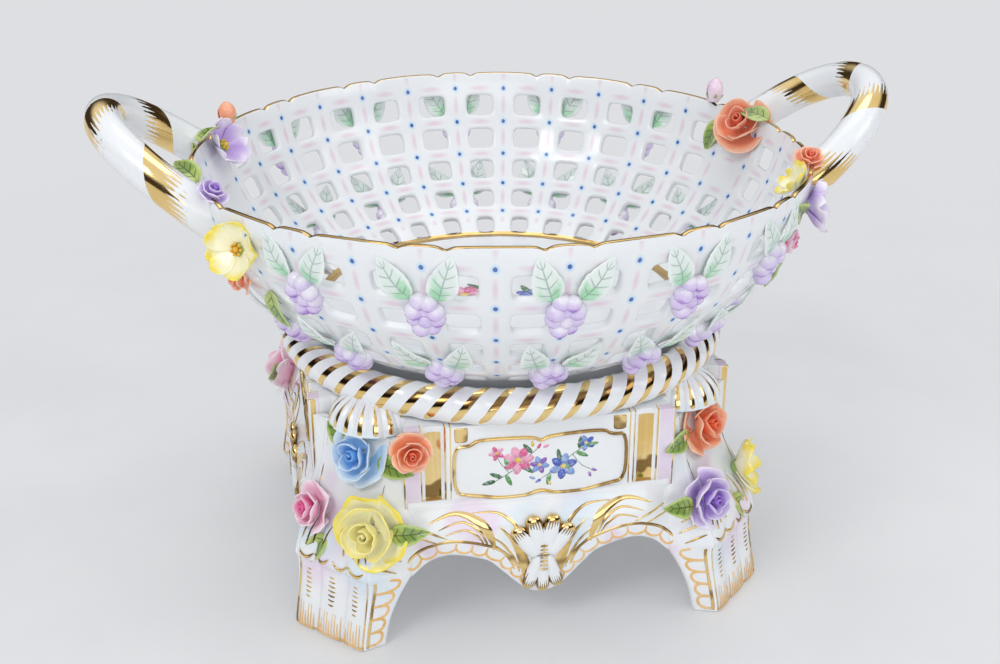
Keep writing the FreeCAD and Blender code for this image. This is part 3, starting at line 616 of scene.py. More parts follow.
@dataclass(frozen=True)
class Lustre(Finish):
    """Pale unburnished gold, brushed on thinly."""

    name: str = "pale_gold_lustre"
    roughness: float = 0.25

    def paint(self, shade: Shade) -> Painted:
        """Warm yellow to orange, thin in places."""
        tone = shade.mix(shade.smooth(shade.noise(140.0, 3.0), 0.35, 0.65), srgb(232, 182, 96),
            srgb(240, 196, 132))
        return (shade.mix(shade.smooth(shade.noise(420.0, 2.0), 0.6, 0.8), tone, srgb(214, 160, 78)), None)


@dataclass(frozen=True)
class BowlPaint(Finish):
    """The bowl: blue dots at the crossings, pink strokes on the bars, gilt rim and floor ring."""

    name: str = "bowl_paint"
    columns: int = 32
    row_height: float = 17.9
    blue: Tone = srgb(56, 100, 176)
    halo: Tone = srgb(200, 224, 244)
    pink: Tone = srgb(229, 206, 220)

    def paint(self, shade: Shade) -> Painted:
        """Dots and strokes by column and row of the lattice."""
        x, y, z = shade.place()
        radius = shade.hypot(x, y)
        level = shade.attribute("level")
        column = shade.maths("ARCTAN2", y, x) * (self.columns / tau)
        pitch = radius * (tau / self.columns)

        def offset(value: Signal, shift: float, scale: Value) -> Signal:
            """The distance in millimetres from the nearest crossing, or from half way between two."""
            moved = value + shift
            return (moved - shade.maths("ROUND", moved)) * scale
        across, across_half = (offset(column, shift, pitch) for shift in (0.0, 0.5))
        along, along_half = (offset(level, shift, self.row_height) for shift in (0.0, 0.5))
        lattice = shade.smooth(level, -0.46, -0.4) * shade.below(level, 4.44, 0.03)

        def stroke(a: Signal, width: float, b: Signal, height: float, soft: float) -> Signal:
            """A soft oval mark."""
            spread = shade.hypot(a / width, b / height)
            return shade.below(spread, 1.0 - soft / 2, soft) * lattice
        colour: Value = WHITE
        for mask, tone, strength in ((stroke(across_half, 5.8, along, 1.6, 0.6), self.pink, 0.8),
                (stroke(across, 1.5, along_half, 5.6, 0.6), self.pink, 0.8),
                (stroke(across, 2.2, along, 2.2, 0.3), self.halo, 0.85),
                (stroke(across, 1.05, along, 1.05, 0.2), self.blue, 1.0)):
            colour = shade.mix(mask * strength, colour, tone)
        floor = shade.smooth(radius, 84.3, 84.7) * shade.below(radius, 90.4, 0.2)
        floor = floor * shade.below(z, 121.0, 0.2)
        floor = floor * shade.smooth(z, 118.0, 118.4)
        return (colour, shade.maths("MAXIMUM", floor, shade.attribute("gilt")))

    def dark(self, shade: Shade) -> Value:
        """Painted dark reflection: uneven brown over the gold."""
        return 0.2 + shade.noise(50.0) * 0.6


@dataclass(frozen=True)
class HandleGilding(Finish):
    """Gold bands that wind along a handle, with one feathered edge."""

    name: str = "handle_gilding"
    winds: float = 3.6
    band: float = 0.21
    feather: float = 0.22
    teeth: float = 26.0

    def paint(self, shade: Shade) -> Painted:
        """Bands by the way along the handle and the turn round it."""
        angle = shade.maths("ARCTAN2", shade.attribute("turn_y"), shade.attribute("turn_x"))
        share = angle / tau
        wound = shade.attribute("along") * self.winds + share
        phase = shade.maths("FRACT", wound + 40.0)
        comb = shade.maths("PINGPONG", (share + 1.0) * self.teeth, 0.5)
        uneven = comb * (shade.noise(210.0) * (4.0 * self.feather))
        width = self.band + uneven
        gold = shade.smooth(phase, 0.0, 0.012) * shade.smooth(width - phase, -0.006, 0.006)
        return (WHITE, gold)


@dataclass(frozen=True)
class RopeGilding(Finish):
    """Leaning gold bars on the white rope ring."""

    name: str = "rope_gilding"
    bars: int = 56
    twist: int = 3
    radius: float = 99.0
    height: float = 109.3
    share: float = 0.17

    def section(self, shade: Shade, x: Signal, y: Signal, z: Signal) -> Signal:
        """The angle round the ring's own section."""
        return shade.maths("ARCTAN2", z - self.height, shade.hypot(x, y) - self.radius)

    def paint(self, shade: Shade) -> Painted:
        """Bars by the angle round the stand and round the ring's own section."""
        x, y, z = shade.place()
        section = self.section(shade, x, y, z)
        around = shade.maths("ARCTAN2", y, x) * (self.bars / tau)
        phase = around - section * (self.twist / tau)
        middle = abs(phase - shade.maths("ROUND", phase))
        ends = shade.smooth(section, -1.0, -0.35) * shade.below(section, 1.85, 0.35)
        width = ends * self.share
        bars = shade.smooth(width - middle, -0.012, 0.012)
        return (WHITE, bars * shade.smooth(ends, 0.05, 0.2))

    def dark(self, shade: Shade) -> Value:
        """Painted reflection: a dark brown band along the shoulder of the ring, between bright ones."""
        waved = self.section(shade, *shade.place()) + shade.noise(30.0) * 0.5
        band = shade.smooth(waved, 0.5, 0.62) * shade.below(waved, 1.25, 0.08)
        return band * 0.88


@dataclass(frozen=True)
class DrumPaint(Finish):
    """The drum: gilt pilaster channels, thin gold lines and a lavender band at each side."""

    name: str = "drum_paint"
    lavender: Tone = srgb(226, 208, 228)

    def paint(self, shade: Shade) -> Painted:
        """Upright bands by the distance from the middle of a face."""
        x, y, z = shade.place()
        sides = (abs(x), abs(y))
        across = shade.maths("MINIMUM", *sides)
        outer = shade.smooth(shade.maths("MAXIMUM", *sides), 92.0, 92.5)
        height = shade.smooth(z, 63.6, 64.2) * shade.below(z, 98.6, 0.3)

        def band(middle: float, half: float) -> Signal:
            """An upright band."""
            return shade.below(abs(across - middle), half, 0.12)
        gold = band(47.0, 3.5) * height
        for line in (band(52.2, 0.33), band(41.8, 0.33), band(39.5, 0.3), band(59.5, 0.3)):
            gold = shade.maths("MAXIMUM", gold, line)
        wash = band(56.0, 3.0) * (0.35 + shade.noise(70.0))
        return (shade.mix(wash * outer, WHITE, self.lavender), gold * outer)

    def dark(self, shade: Shade) -> Value:
        """Painted reflection: the lower half of each channel is dark brown, down to a bright end; its edge
        waves.
        """
        x, y, z = shade.place()
        waved = z + shade.noise(130.0, 1.0) * 16.0
        low = shade.below(waved, 84.0, 1.2) * shade.smooth(waved, 75.5, 77.0)
        return low * 0.85


@dataclass(frozen=True)
class Wash(Finish):
    """White porcelain with soft lavender and pale blue washes in broken patches."""

    name: str = "washed_porcelain"
    lavender: Tone = srgb(232, 214, 232)
    blue: Tone = srgb(212, 228, 238)
    low: float = 4.0
    high: float = 62.0

    def paint(self, shade: Shade) -> Painted:
        """Washes that fade towards the foot and the top."""
        _, _, z = shade.place()
        zone = shade.smooth(z, self.low, self.low + 16) * shade.below(z, self.high, 6.0)
        first = shade.smooth(shade.noise(48.0, 1.0), 0.5, 0.68) * 0.85
        second = shade.smooth(shade.noise(31.0, 1.0), 0.5, 0.66) * 0.75
        tinted = shade.mix(first * zone, WHITE, self.lavender)
        return (shade.mix(second * zone, tinted, self.blue), None)


@dataclass(frozen=True)
class CapPaint(Finish):
    """The shell canopies: a gold drop on every lobe and a pale blue edge."""

    name: str = "cap_paint"
    edge: Tone = srgb(218, 233, 240)

    def paint(self, shade: Shade) -> Painted:
        """Drops by the way out along a lobe and the distance from its middle."""
        reach, lobe = (shade.attribute("reach"), shade.attribute("lobe"))
        shape = shade.smooth(reach, 0.44, 0.985) * shade.below(reach, 0.994, 0.002)
        inside = shape * 0.33 - abs(lobe)
        gold = shade.smooth(inside, -0.05, 0.05) * shade.smooth(shape, 0.04, 0.12)
        rim = shade.smooth(reach, 0.93, 1.0) * 0.6
        return (shade.mix(rim, WHITE, self.edge), gold)


@dataclass(frozen=True)
class ShellPaint(Finish):
    """The apron shells: white lobes with gold tips and edges."""

    name: str = "shell_paint"

    def paint(self, shade: Shade) -> Painted:
        """Gold from the tip inward, in comb-like strokes."""
        tip, lobe = (shade.attribute("tip"), abs(shade.attribute("lobe")))
        teeth = shade.maths("PINGPONG", lobe * 3.5, 0.5)
        comb = teeth * (shade.noise(300.0, 1.0) * 0.9)
        side = shade.smooth(lobe, 0.55, 1.0) * 0.26
        return (WHITE, shade.smooth(tip + comb + side, 0.88, 0.92))

    def dark(self, shade: Shade) -> Value:
        """Painted dark reflection: brown inward of each tip."""
        return shade.below(shade.attribute("tip"), 0.88, 0.05) * 0.7


@dataclass(frozen=True)
class PetalGlaze(Finish):
    """Coloured petals, deep in the heart and pale towards the outer lips."""

    heart: Tone = WHITE
    middle: Tone = WHITE
    outer: Tone = WHITE
    lip: Tone = WHITE
    eye: Tone = srgb(236, 205, 60)

    def paint(self, shade: Shade) -> Painted:
        """Brushed tones by ring and by the way out along a petal."""
        ring, out = (shade.attribute("ring"), shade.attribute("lip"))
        streak = (shade.noise(210.0, 3.0) - 0.5) * 0.5
        deep = shade.mix(shade.smooth(ring + streak, 0.0, 0.5), self.heart, self.middle)
        spread = ring * 0.55 + out * 0.55
        toned = shade.mix(shade.smooth(spread + streak, 0.42, 0.95), deep, self.outer)
        edge = out + streak * 0.7
        weight = 0.35 + ring * 0.65
        lips = shade.smooth(edge, 0.62, 0.97) * weight
        edged = shade.mix(lips, toned, self.lip)
        green = shade.mix(shade.attribute("sepal"), edged, srgb(150, 176, 96))
        return (shade.mix(shade.attribute("eye"), green, self.eye), None)


@dataclass(frozen=True)
class LeafGlaze(Finish):
    """Leaves with a dark midrib and side veins."""

    blade: Tone = srgb(126, 154, 72)
    base: Tone = srgb(186, 202, 106)
    tip: Tone = srgb(150, 172, 84)
    edge: Tone = srgb(184, 204, 122)
    vein: Tone = srgb(66, 88, 40)
    vein_strength: float = 0.85
    vein_width: float = 1.0

    def paint(self, shade: Shade) -> Painted:
        """Blade tones along the leaf, with drawn veins."""
        across = abs(shade.attribute("across"))
        along = shade.attribute("along")
        blotch = (shade.noise(170.0, 2.0) - 0.5) * 0.9
        spread = along + blotch
        blade = shade.mix(shade.smooth(spread, 0.1, 0.45), self.base, self.blade)
        blade = shade.mix(shade.smooth(spread, 0.62, 1.0), blade, self.tip)
        outward = across + blotch * 0.5
        blade = shade.mix(shade.smooth(outward, 0.55, 0.95), blade, self.edge)
        rib = shade.below(across, 0.075 * self.vein_width, 0.05)
        slant = along - across * 0.2
        wave = shade.maths("PINGPONG", (slant + 1.0) * 5.2, 0.5)
        side = shade.below(wave, 0.1 * self.vein_width, 0.07) * shade.below(across, 0.66, 0.2)
        veins = shade.maths("MAXIMUM", rib, side) * shade.below(along, 0.9, 0.05)
        return (shade.mix(veins * self.vein_strength, blade, self.vein), None)


@dataclass(frozen=True)
class GrapeGlaze(Finish):
    """Lilac grapes, paler on top and darker purple towards their undersides, as painted light and shade."""

    name: str = "grape_glaze"
    pale: Tone = srgb(236, 232, 242)
    middle: Tone = srgb(216, 200, 236)
    deep: Tone = srgb(164, 120, 208)

    def paint(self, shade: Shade) -> Painted:
        """White glaze under brushed lilac, with painted shade that darkens the lower side of each grape and
        painted light on its top.
        """
        brush = (shade.noise(120.0, 2.0) - 0.5) * 2.4
        # Painted shade: the lower side of every grape is darker, the top paler.
        low = shade.attribute("down") + brush
        toned = shade.mix(shade.smooth(low, -0.7, 0.3), self.pale, self.middle)
        return (shade.mix(shade.smooth(low, 0.35, 1.1), toned, self.deep), None)


@dataclass(frozen=True)
class Enamel(Finish):
    """Overglaze painting, whose colours the mesh carries."""

    name: str = "enamel_painting"
    roughness: float = 0.22

    def paint(self, shade: Shade) -> Painted:
        """The carried colour, broken a little by the brush."""
        join = shade.node("ShaderNodeCombineColor")
        for socket, name in zip(join.inputs, ("red", "green", "blue")):
            shade.feed(socket, shade.attribute(name))
        thin = shade.smooth(shade.noise(900.0, 2.0), 0.45, 0.75) * 0.5
        return (shade.mix(thin, join.outputs[0], WHITE), None)


PETALS = {Slot.BLUE: PetalGlaze("blue_glaze", heart=srgb(118, 178, 238), middle=srgb(158, 206, 245),
    outer=srgb(194, 222, 246), lip=srgb(226, 238, 248)), Slot.PINK: PetalGlaze("pink_glaze",
    heart=srgb(234, 84, 150), middle=srgb(245, 150, 192), outer=srgb(249, 206, 226), lip=srgb(252, 234, 242)),
    Slot.YELLOW: PetalGlaze("yellow_glaze", heart=srgb(247, 238, 162), middle=srgb(250, 246, 208),
    outer=srgb(250, 247, 214), lip=srgb(251, 231, 84), eye=srgb(240, 176, 40)),
    Slot.ORANGE: PetalGlaze("orange_glaze", heart=srgb(240, 110, 68), middle=srgb(247, 144, 100),
    outer=srgb(249, 160, 118), lip=srgb(252, 204, 172)), Slot.PURPLE: PetalGlaze("purple_glaze",
    heart=srgb(158, 118, 212), middle=srgb(190, 158, 226), outer=srgb(212, 192, 235), lip=srgb(240, 232, 246))}
BUDS = {Slot.ORANGE: PetalGlaze("orange_bud_glaze", heart=srgb(247, 156, 118), middle=srgb(248, 168, 132),
    outer=srgb(249, 184, 150), lip=srgb(250, 206, 180)), Slot.PINK: PetalGlaze("pink_bud_glaze",
    heart=srgb(242, 222, 236), middle=srgb(240, 218, 234), outer=srgb(240, 206, 228), lip=srgb(236, 150, 200))}
GREEN_LEAF = LeafGlaze("green_leaf_glaze")
PALE_LEAF = LeafGlaze("pale_leaf_glaze", blade=srgb(222, 233, 227), base=srgb(168, 220, 180),
    tip=srgb(232, 238, 236), edge=srgb(232, 238, 235), vein=srgb(112, 140, 126), vein_strength=0.7,
    vein_width=0.6)


# Geometry Nodes


class Wiring:
    """Builds one Geometry Nodes tree with named inputs, and runs it."""

    def __init__(self, name: str, inputs: Sequence[tuple[str, str]]) -> None:
        """Starts the tree.

        Args:
            name: The tree's name.
            inputs: Names and kinds of the inputs after the geometry.
        """
        self.tree = bpy.data.node_groups.new(name, "GeometryNodeTree")
        face = self.tree.interface
        for way in ("OUTPUT", "INPUT"):
            face.new_socket(name="Geometry", in_out=way, socket_type="NodeSocketGeometry")
        self.keys = {title: face.new_socket(name=title, in_out="INPUT",
            socket_type="NodeSocket" + kind).identifier for title, kind in inputs}
        self.start, self.end = (self.tree.nodes.new("NodeGroupInput"), self.tree.nodes.new("NodeGroupOutput"))

    def node(self, kind: str, inputs: dict[Union[str, int], object], **settings: object) -> Node:
        """Adds a node.

        Args:
            kind: Its type.
            inputs: By name or number, values, sockets, or nodes that give their first output.
            settings: Its own settings.

        Returns:
            The node.
        """
        node = self.tree.nodes.new(kind)
        for name, value in settings.items():
            setattr(node, name, value)
        for key, value in inputs.items():
            if isinstance(value, Node):
                value = value.outputs[0]
            if isinstance(value, NodeSocket):
                self.tree.links.new(value, node.inputs[key])
            else:
                node.inputs[key].default_value = value
        return node

    def close(self, result: Node) -> None:
        """Gives the result its material and ends the tree."""
        dress = self.node("GeometryNodeSetMaterial", {"Geometry": result,
            "Material": self.start.outputs["Material"]})
        self.tree.links.new(dress.outputs[0], self.end.inputs[0])

    def run(self, draft: Draft, material: Material, **values: object) -> Mesh:
        """Runs the tree.

        Args:
            draft: What the tree starts from.
            material: The finish of the result.
            values: The values of the other inputs.

        Returns:
            The result as a plain mesh.
        """
        piece = draft.build("start", material, sheet=True)
        modifier = piece.modifiers.new("nodes", "NODES")
        modifier.node_group = self.tree
        for name, value in {**values, "Material": material}.items():
            modifier[self.keys[name]] = value
        bpy.context.view_layer.update()
        depsgraph = bpy.context.evaluated_depsgraph_get()
        mesh = bpy.data.meshes.new_from_object(piece.evaluated_get(depsgraph), preserve_all_data_layers=True,
            depsgraph=depsgraph)
        piece.modifiers.remove(modifier)
        bpy.data.objects.remove(piece)
        return mesh


class RoundRepeat:
    """Geometry Nodes that set copies of a piece round the upright axis."""

    def __init__(self) -> None:
        """Builds the tree: points, turned copies and joined seams."""
        wires = self.wires = Wiring("Round repeat", [("Count", "Int"), ("First", "Float"), ("Step", "Float"),
            ("Seam", "Float"), ("Material", "Material")])
        given = wires.start.outputs
        points = wires.node("GeometryNodePoints", {"Count": given["Count"]})
        angle = wires.node("ShaderNodeMath", {0: wires.node("GeometryNodeInputIndex", {}), 1: given["Step"],
            2: given["First"]}, operation="MULTIPLY_ADD")
        spin = wires.node("FunctionNodeEulerToRotation", {0: wires.node("ShaderNodeCombineXYZ", {"Z": angle})})
        copies = wires.node("GeometryNodeInstanceOnPoints", {"Points": points, "Instance": given["Geometry"],
            "Rotation": spin})
        real = wires.node("GeometryNodeRealizeInstances", {0: copies})
        wires.close(wires.node("GeometryNodeMergeByDistance", {"Geometry": real, "Distance": given["Seam"]}))

    def run(self, part: Draft, finish: Finish, count: int, first: float, step: float) -> Mesh:
        """Repeats a part.

        Args:
            part: The part at azimuth zero.
            finish: Its finish.
            count: How many copies.
            first: Azimuth of the first copy, in degrees.
            step: Degrees from copy to copy.

        Returns:
            All copies as one mesh.
        """
        return self.wires.run(part, finish.material(), Count=count, First=radians(first), Step=radians(step),
            Seam=MERGE)


class BeadScatter:
    """Geometry Nodes that set a round bead on every point, sized by the point's own value."""

    def __init__(self) -> None:
        """Builds the tree: a unit ball that knows its lower side, copied to the points."""
        wires = self.wires = Wiring("Bead scatter", [("Detail", "Int"), ("Material", "Material")])
        given = wires.start.outputs
        ball = wires.node("GeometryNodeMeshIcoSphere", {"Radius": 1.0, "Subdivisions": given["Detail"]})
        split = wires.node("ShaderNodeSeparateXYZ", {0: wires.node("GeometryNodeInputPosition", {})})
        # How far a point lies on the ball's lower side, for the grapes' painted shade.
        down = wires.node("ShaderNodeMath", {0: split.outputs["Z"], 1: -1.0}, operation="MULTIPLY")
        lower = wires.node("GeometryNodeStoreNamedAttribute", {"Name": "down", "Geometry": ball,
            "Value": down}, data_type="FLOAT", domain="POINT")
        size = wires.node("GeometryNodeInputNamedAttribute", {"Name": "size"}, data_type="FLOAT")
        copies = wires.node("GeometryNodeInstanceOnPoints", {"Points": given["Geometry"], "Instance": lower,
            "Scale": size.outputs["Attribute"]})
        wires.close(wires.node("GeometryNodeRealizeInstances", {0: copies}))

    def run(self, points: Draft, finish: Finish, detail: int = 2) -> Mesh:
        """Sets a bead on every point of a draft."""
        return self.wires.run(points, finish.material(), Detail=detail)


# The bowl


@dataclass
class Bowl:
    """The thrown bowl with its cut lattice, scalloped rim, floor and foot ring."""

    centre_radius: float = 37.9
    centre_height: float = 210.0
    arc_radius: float = 102.7
    wall: float = 4.0
    rim_height: float = 195.0
    rim_edge: float = 2.4
    columns: int = 32
    rows: int = 5
    first_angle: float = 12.9
    row_angle: float = 9.8
    floor_angle: float = 61.0
    bar: float = 7.5
    rib_top: float = 12.5
    rib_bottom: float = 10.0
    corner: float = 2.2
    warp: float = 1.8
    finish: Finish = BowlPaint()
    shares = (0.0, 1 / 3, 0.5, 2 / 3, 1.0)
    rim_places = (0.0, 0.12, 0.22, 0.29, 1 / 3, 0.38, 0.44, 0.5, 0.58, 2 / 3, 0.82, 1.0)

    def at(self, angle: float, depth: float, azimuth: float) -> Vector:
        """A point on the wall: the angle is below level and the depth is outwards."""
        reach, slope = (self.arc_radius + depth, radians(angle))
        return polar(self.centre_radius + reach * cos(slope), azimuth, self.centre_height - reach * sin(slope))

    def angle_at(self, height: float, depth: float) -> float:
        """The wall's angle where the surface at this depth passes a height."""
        return degrees(asin((self.centre_height - height) / (self.arc_radius + depth)))

    def row_limit(self, row: int) -> float:
        """The wall angle between two rows of cells."""
        return min(self.first_angle + row * self.row_angle, self.floor_angle)

    def cell(self, draft: Draft, column: int, row: int, closed: bool) -> None:
        """One cell of the lattice, through the wall from outside to inside.

        Args:
            draft: Takes the cell.
            column: Its column in the segment.
            row: Its row from the rim.
            closed: Whether the cell has no opening.
        """
        pitch = 360 / self.columns
        top, low = (self.row_limit(row), self.row_limit(row + 1))
        inner = self.shares[:4]
        edge = [(s, 0.0) for s in inner] + [(1.0, s) for s in inner] + [(1 - s, 1.0)
            for s in inner] + [(0.0, 1 - s) for s in inner]

        def border(depth: float) -> list[int]:
            """The cell's edge on one face of the wall."""
            return [draft.add(self.at(mixed(top, low, v), depth, (column + u) * pitch), level=row + v) for u,
                v in edge]
        outside, inside = (border(self.wall), border(0.0))
        middle = self.first_angle + (row + 0.5) * self.row_angle
        azimuth = (column + 0.5) * pitch
        if closed:
            for ring, depth in ((outside, self.wall), (inside, 0.0)):
                draft.fan(ring, self.at((top + low) / 2, depth, azimuth), level=row + 0.5)
            return
        radius = self.at(middle, 0, 0).x
        rib = mixed(self.rib_top, self.rib_bottom, row / (self.rows - 1))
        width = tau * radius / self.columns - rib
        height = radians(self.row_angle) * (self.arc_radius + self.wall / 2) - self.bar

        def hole(margin: float, depth: float) -> list[int]:
            """A rounded ring a little larger than the opening."""
            w, h, c = (width / 2 + margin, height / 2 + margin, self.corner + margin * 0.6)
            k = c * 0.28
            quarter = [(-(w - k), -(h - k)), (-(w - c), -h), (0, -h), (w - c, -h), (w - k, -(h - k)),
                (w, -(h - c)), (w, 0), (w, h - c)]
            ring = quarter + [(-x, -y) for x, y in quarter]
            return [draft.add(self.at(middle + degrees(y / (self.arc_radius + self.wall / 2)), depth,
                azimuth + degrees(x / radius)), level=row + 0.5 + degrees(y / self.arc_radius)
                / self.row_angle) for x, y in ring]
        rings = [outside, hole(1.1, self.wall), hole(0.25, self.wall - 0.35), hole(0, self.wall / 2),
            hole(0.25, 0.35), hole(1.1, 0), inside]
        draft.grid(rings, closed=True)

    def segment(self, closed_column: Optional[int] = None) -> Draft:
        """Two columns of the bowl from azimuth zero.

        Args:
            closed_column: The column whose two upper cells have no opening.

        Returns:
            The segment, with its rim, floor and foot ring.
        """
        draft = Draft()
        pitch = 360 / self.columns
        for column in (0, 1):
            for row in range(self.rows):
                self.cell(draft, column, row, column == closed_column and row < 2)
        places = [column + share for column in (0, 1) for share in self.shares[:4]] + [2.0]
        fine = list(self.rim_places) + [2 - place for place in reversed(self.rim_places[:-1])]
        stops = (0.42, 0.78, 0.93, 1.0)

        def drop(place: float) -> float:
            """How far the edge dips: a nick between the long and the short lobes, which are arched."""
            nick = min(abs(place - 1 / 3), abs(place - 5 / 3))
            lobe = (place - 1) * 1.5 if 1 / 3 < place < 5 / 3 else ((place + 1) % 2 - 1) * 3
            return 1.4 * max(0.0, 1 - nick / 0.12) ** 1.2 + 0.55 * abs(lobe) ** 2.2

        def rim_row(row_places: Sequence[float], stop: float, depth: float, gilt: float = 0.0,
                lift: float = 0.0) -> list[int]:
            """A row of the rim between the lattice and the edge."""
            row = []
            for place in row_places:
                thin = (self.wall - self.rim_edge) / 2 * ease(stop, 0.5, 1.0)
                true_depth = mixed(thin, self.wall - thin, depth / self.wall)
                foot = self.at(self.first_angle, depth, 0).z
                height = mixed(foot, self.rim_height - drop(place), stop) + lift
                angle = self.angle_at(height, true_depth)
                point = self.at(angle, true_depth, place * pitch)
                row.append(draft.add(point, level=(angle - self.first_angle) / self.row_angle, gilt=gilt))
            return row

        def splice(coarse: Sequence[int], close: Sequence[int]) -> None:
            """Joins the lattice's row to the rim's closer one."""
            marks = [fine.index(min(fine, key=lambda f: abs(f - place))) for place in places]
            for k, (first, last) in enumerate(zip(marks, marks[1:])):
                middle = (first + last) // 2
                for i in range(first, last):
                    draft.faces.append((coarse[k if i < middle else k + 1], close[i], close[i + 1]))
                draft.faces.append((coarse[k], close[middle], coarse[k + 1]))
        rim = [rim_row(fine, stop, self.wall, float(stop == 1)) for stop in stops]
        rim += [rim_row(fine, 1.0, self.wall / 2, 1.0, 0.3)]
        rim += [rim_row(fine, stop, 0.0, 0.6 * (stop == 1)) for stop in reversed(stops)]
        draft.grid(rim)
        splice(rim_row(places, 0.0, self.wall), rim[0])
        splice(rim_row(places, 0.0, 0.0), rim[-1])

        def turned(profile: Sequence[Pair], first: float) -> None:
            """Rows of the floor or the foot, from the wall to the axis."""
            rows = [[draft.add(self.at(self.floor_angle, first, place * pitch), level=5.0) for place in places]]
            rows += [[draft.add(polar(r, place * pitch, z), level=6.0) for place in places] for r, z in profile]
            draft.grid(rows)
            centre = draft.add((0, 0, profile[-1][1]), level=6.0)
            draft.faces += [(a, b, centre) for a, b in zip(rows[-1], rows[-1][1:])]
        turned(((86.9, 119.75), (84.4, 119.6), (78, 119.6), (56, 119.6), (28, 119.6)), 0.0)
        turned(((87.2, 115.5), (85.2, 115.15), (82.4, 115.0), (82.0, 114.4), (82.0, 105.7), (81.5, 105.05),
            (76.5, 105.05), (76.0, 105.7), (76.0, 114.4), (75.3, 115.1), (54, 115.18), (27, 115.18)), self.wall)
        return draft

    def build(self, repeat: RoundRepeat) -> None:
        """Repeats the segments, raises the rim in front and behind, and dresses the bowl."""
        step = 2 * 360 / self.columns
        whole = Draft()
        runs = [(None, 6, step, step), (None, 6, 180 + step, step), (1, 2, 0.0, 180.0),
            (0, 2, 360 - step, 180.0)]
        for closed, count, first, spacing in runs:
            mesh = repeat.run(self.segment(closed), self.finish, count, first, spacing)
            whole.take(mesh, ("level", "gilt"))
            bpy.data.meshes.remove(mesh)
        for point in whole.points:
            azimuth = atan2(point.y, point.x)
            point.z -= self.warp * cos(2 * azimuth) * ease(point.z, 152, 192)
        piece = rounded(whole.build("bowl", self.finish.material()))
        settle(piece, Body.BASKET, Slot.WHITE, "basket_bowl")


@dataclass
class Handles:
    """The two loop handles, wound with gold."""

    tube: float = 8.45
    half_chord: float = 44.7
    reach: float = 53.6
    tilt: float = 37.9
    foot_radius: float = 133.7
    foot_height: float = 184.0
    root_scale: float = 70.0
    seat_depth: float = 2.0
    stations: int = 96
    sides: int = 32
    flare: float = 0.16
    finish: Finish = HandleGilding()

    def spine(self, way: float) -> tuple[Vector, Vector, Vector]:
        """The tube's middle line.

        Args:
            way: -1 and 1 at the feet, 0 at the top; past the feet it runs straight on into the wall.

        Returns:
            The point, the outward direction in the loop's plane, and the plane's normal.
        """
        tilt = radians(self.tilt)
        out, across = (Vector((cos(tilt), 0, sin(tilt))), Vector((0, 1, 0)))
        plane = out.cross(across)
        angle = radians(90 * min(max(way, -1), 1))
        point = Vector((self.foot_radius, 0, self.foot_height)) + out * self.reach * cos(
            angle) + across * self.half_chord * sin(angle)
        along = (across * self.half_chord * cos(angle) - out * self.reach * sin(angle)).normalized()
        point -= out * max(abs(way) - 1, 0) * self.root_scale
        return (point, along.cross(plane), plane)

    def surface(self, way: float, angle: float) -> Vector:
        """A point of the tube's skin at a way along it and an angle round it."""
        point, outward, plane = self.spine(way)
        swell = 1 + self.flare * ease(abs(way), 0.78, 1.12)
        return point + (outward * cos(angle) + plane * sin(angle)) * self.tube * swell

    def end_way(self, sign: int, angle: float, bowl: Bowl) -> float:
        """How far a line of the skin runs before it is inside the bowl's wall."""
        low, high = (0.5, 1.5)
        for _ in range(30):
            way = (low + high) / 2
            p = self.surface(sign * way, angle)
            depth = hypot(hypot(p.x, p.y) - bowl.centre_radius, bowl.centre_height - p.z) - bowl.arc_radius
            low, high = (way, high) if depth > self.seat_depth else (low, way)
        return sign * low

    def build(self, bowl: Bowl) -> None:
        """Builds both handles."""
        for name, azimuth in (("right", 0), ("left", 180)):
            draft = Draft()
            angles = [tau * side / self.sides for side in range(self.sides)]
            ends = [(self.end_way(-1, a, bowl), self.end_way(1, a, bowl)) for a in angles]
            rows = []
            for station in range(self.stations + 1):
                row = []
                for angle, (first, last) in zip(angles, ends):
                    way = mixed(first, last, station / self.stations)
                    row.append(draft.add(turn(azimuth) @ self.surface(way, angle), along=(way + 1) / 2,
                        turn_x=cos(angle), turn_y=sin(angle)))
                rows.append(row)
            draft.grid(rows, closed=True)
            draft.faces += [tuple(rows[0]), tuple(rows[-1])]
            piece = draft.build("handle_loop_" + name, self.finish.material(), sharp=60)
            settle(piece, Body.BASKET, Slot.GILDED, "handle_" + name)


@dataclass
class RopeRing:
    """The twisted ring round the deck."""

    radius: float = 99.0
    tube: float = 8.0
    height: float = 109.3
    strands: int = 56
    twist: int = 3
    groove: float = 0.45
    columns: int = 12
    sides: int = 28
    finish: Finish = RopeGilding()

    def build(self, repeat: RoundRepeat) -> None:
        """Makes one strand's width of the ring and repeats it."""
        draft = Draft()
        rows = []
        for column in range(self.columns + 1):
            row = []
            for side in range(self.sides):
                section = tau * side / self.sides
                phase = column / self.columns - self.twist * section / tau
                tube = self.tube - self.groove * abs(cos(pi * (phase - 0.5))) ** 3
                row.append(draft.add(polar(self.radius + tube * cos(section),
                    360 / self.strands * column / self.columns, self.height + tube * sin(section))))
            rows.append(row)
        draft.grid(rows, closed=True)
        mesh = repeat.run(draft, self.finish, self.strands, 0.0, 360 / self.strands)
        ring = Draft()
        ring.take(mesh, ())
        bpy.data.meshes.remove(mesh)
        settle(ring.build("rope", self.finish.material()), Body.STAND, Slot.GILDED, "rope_ring")


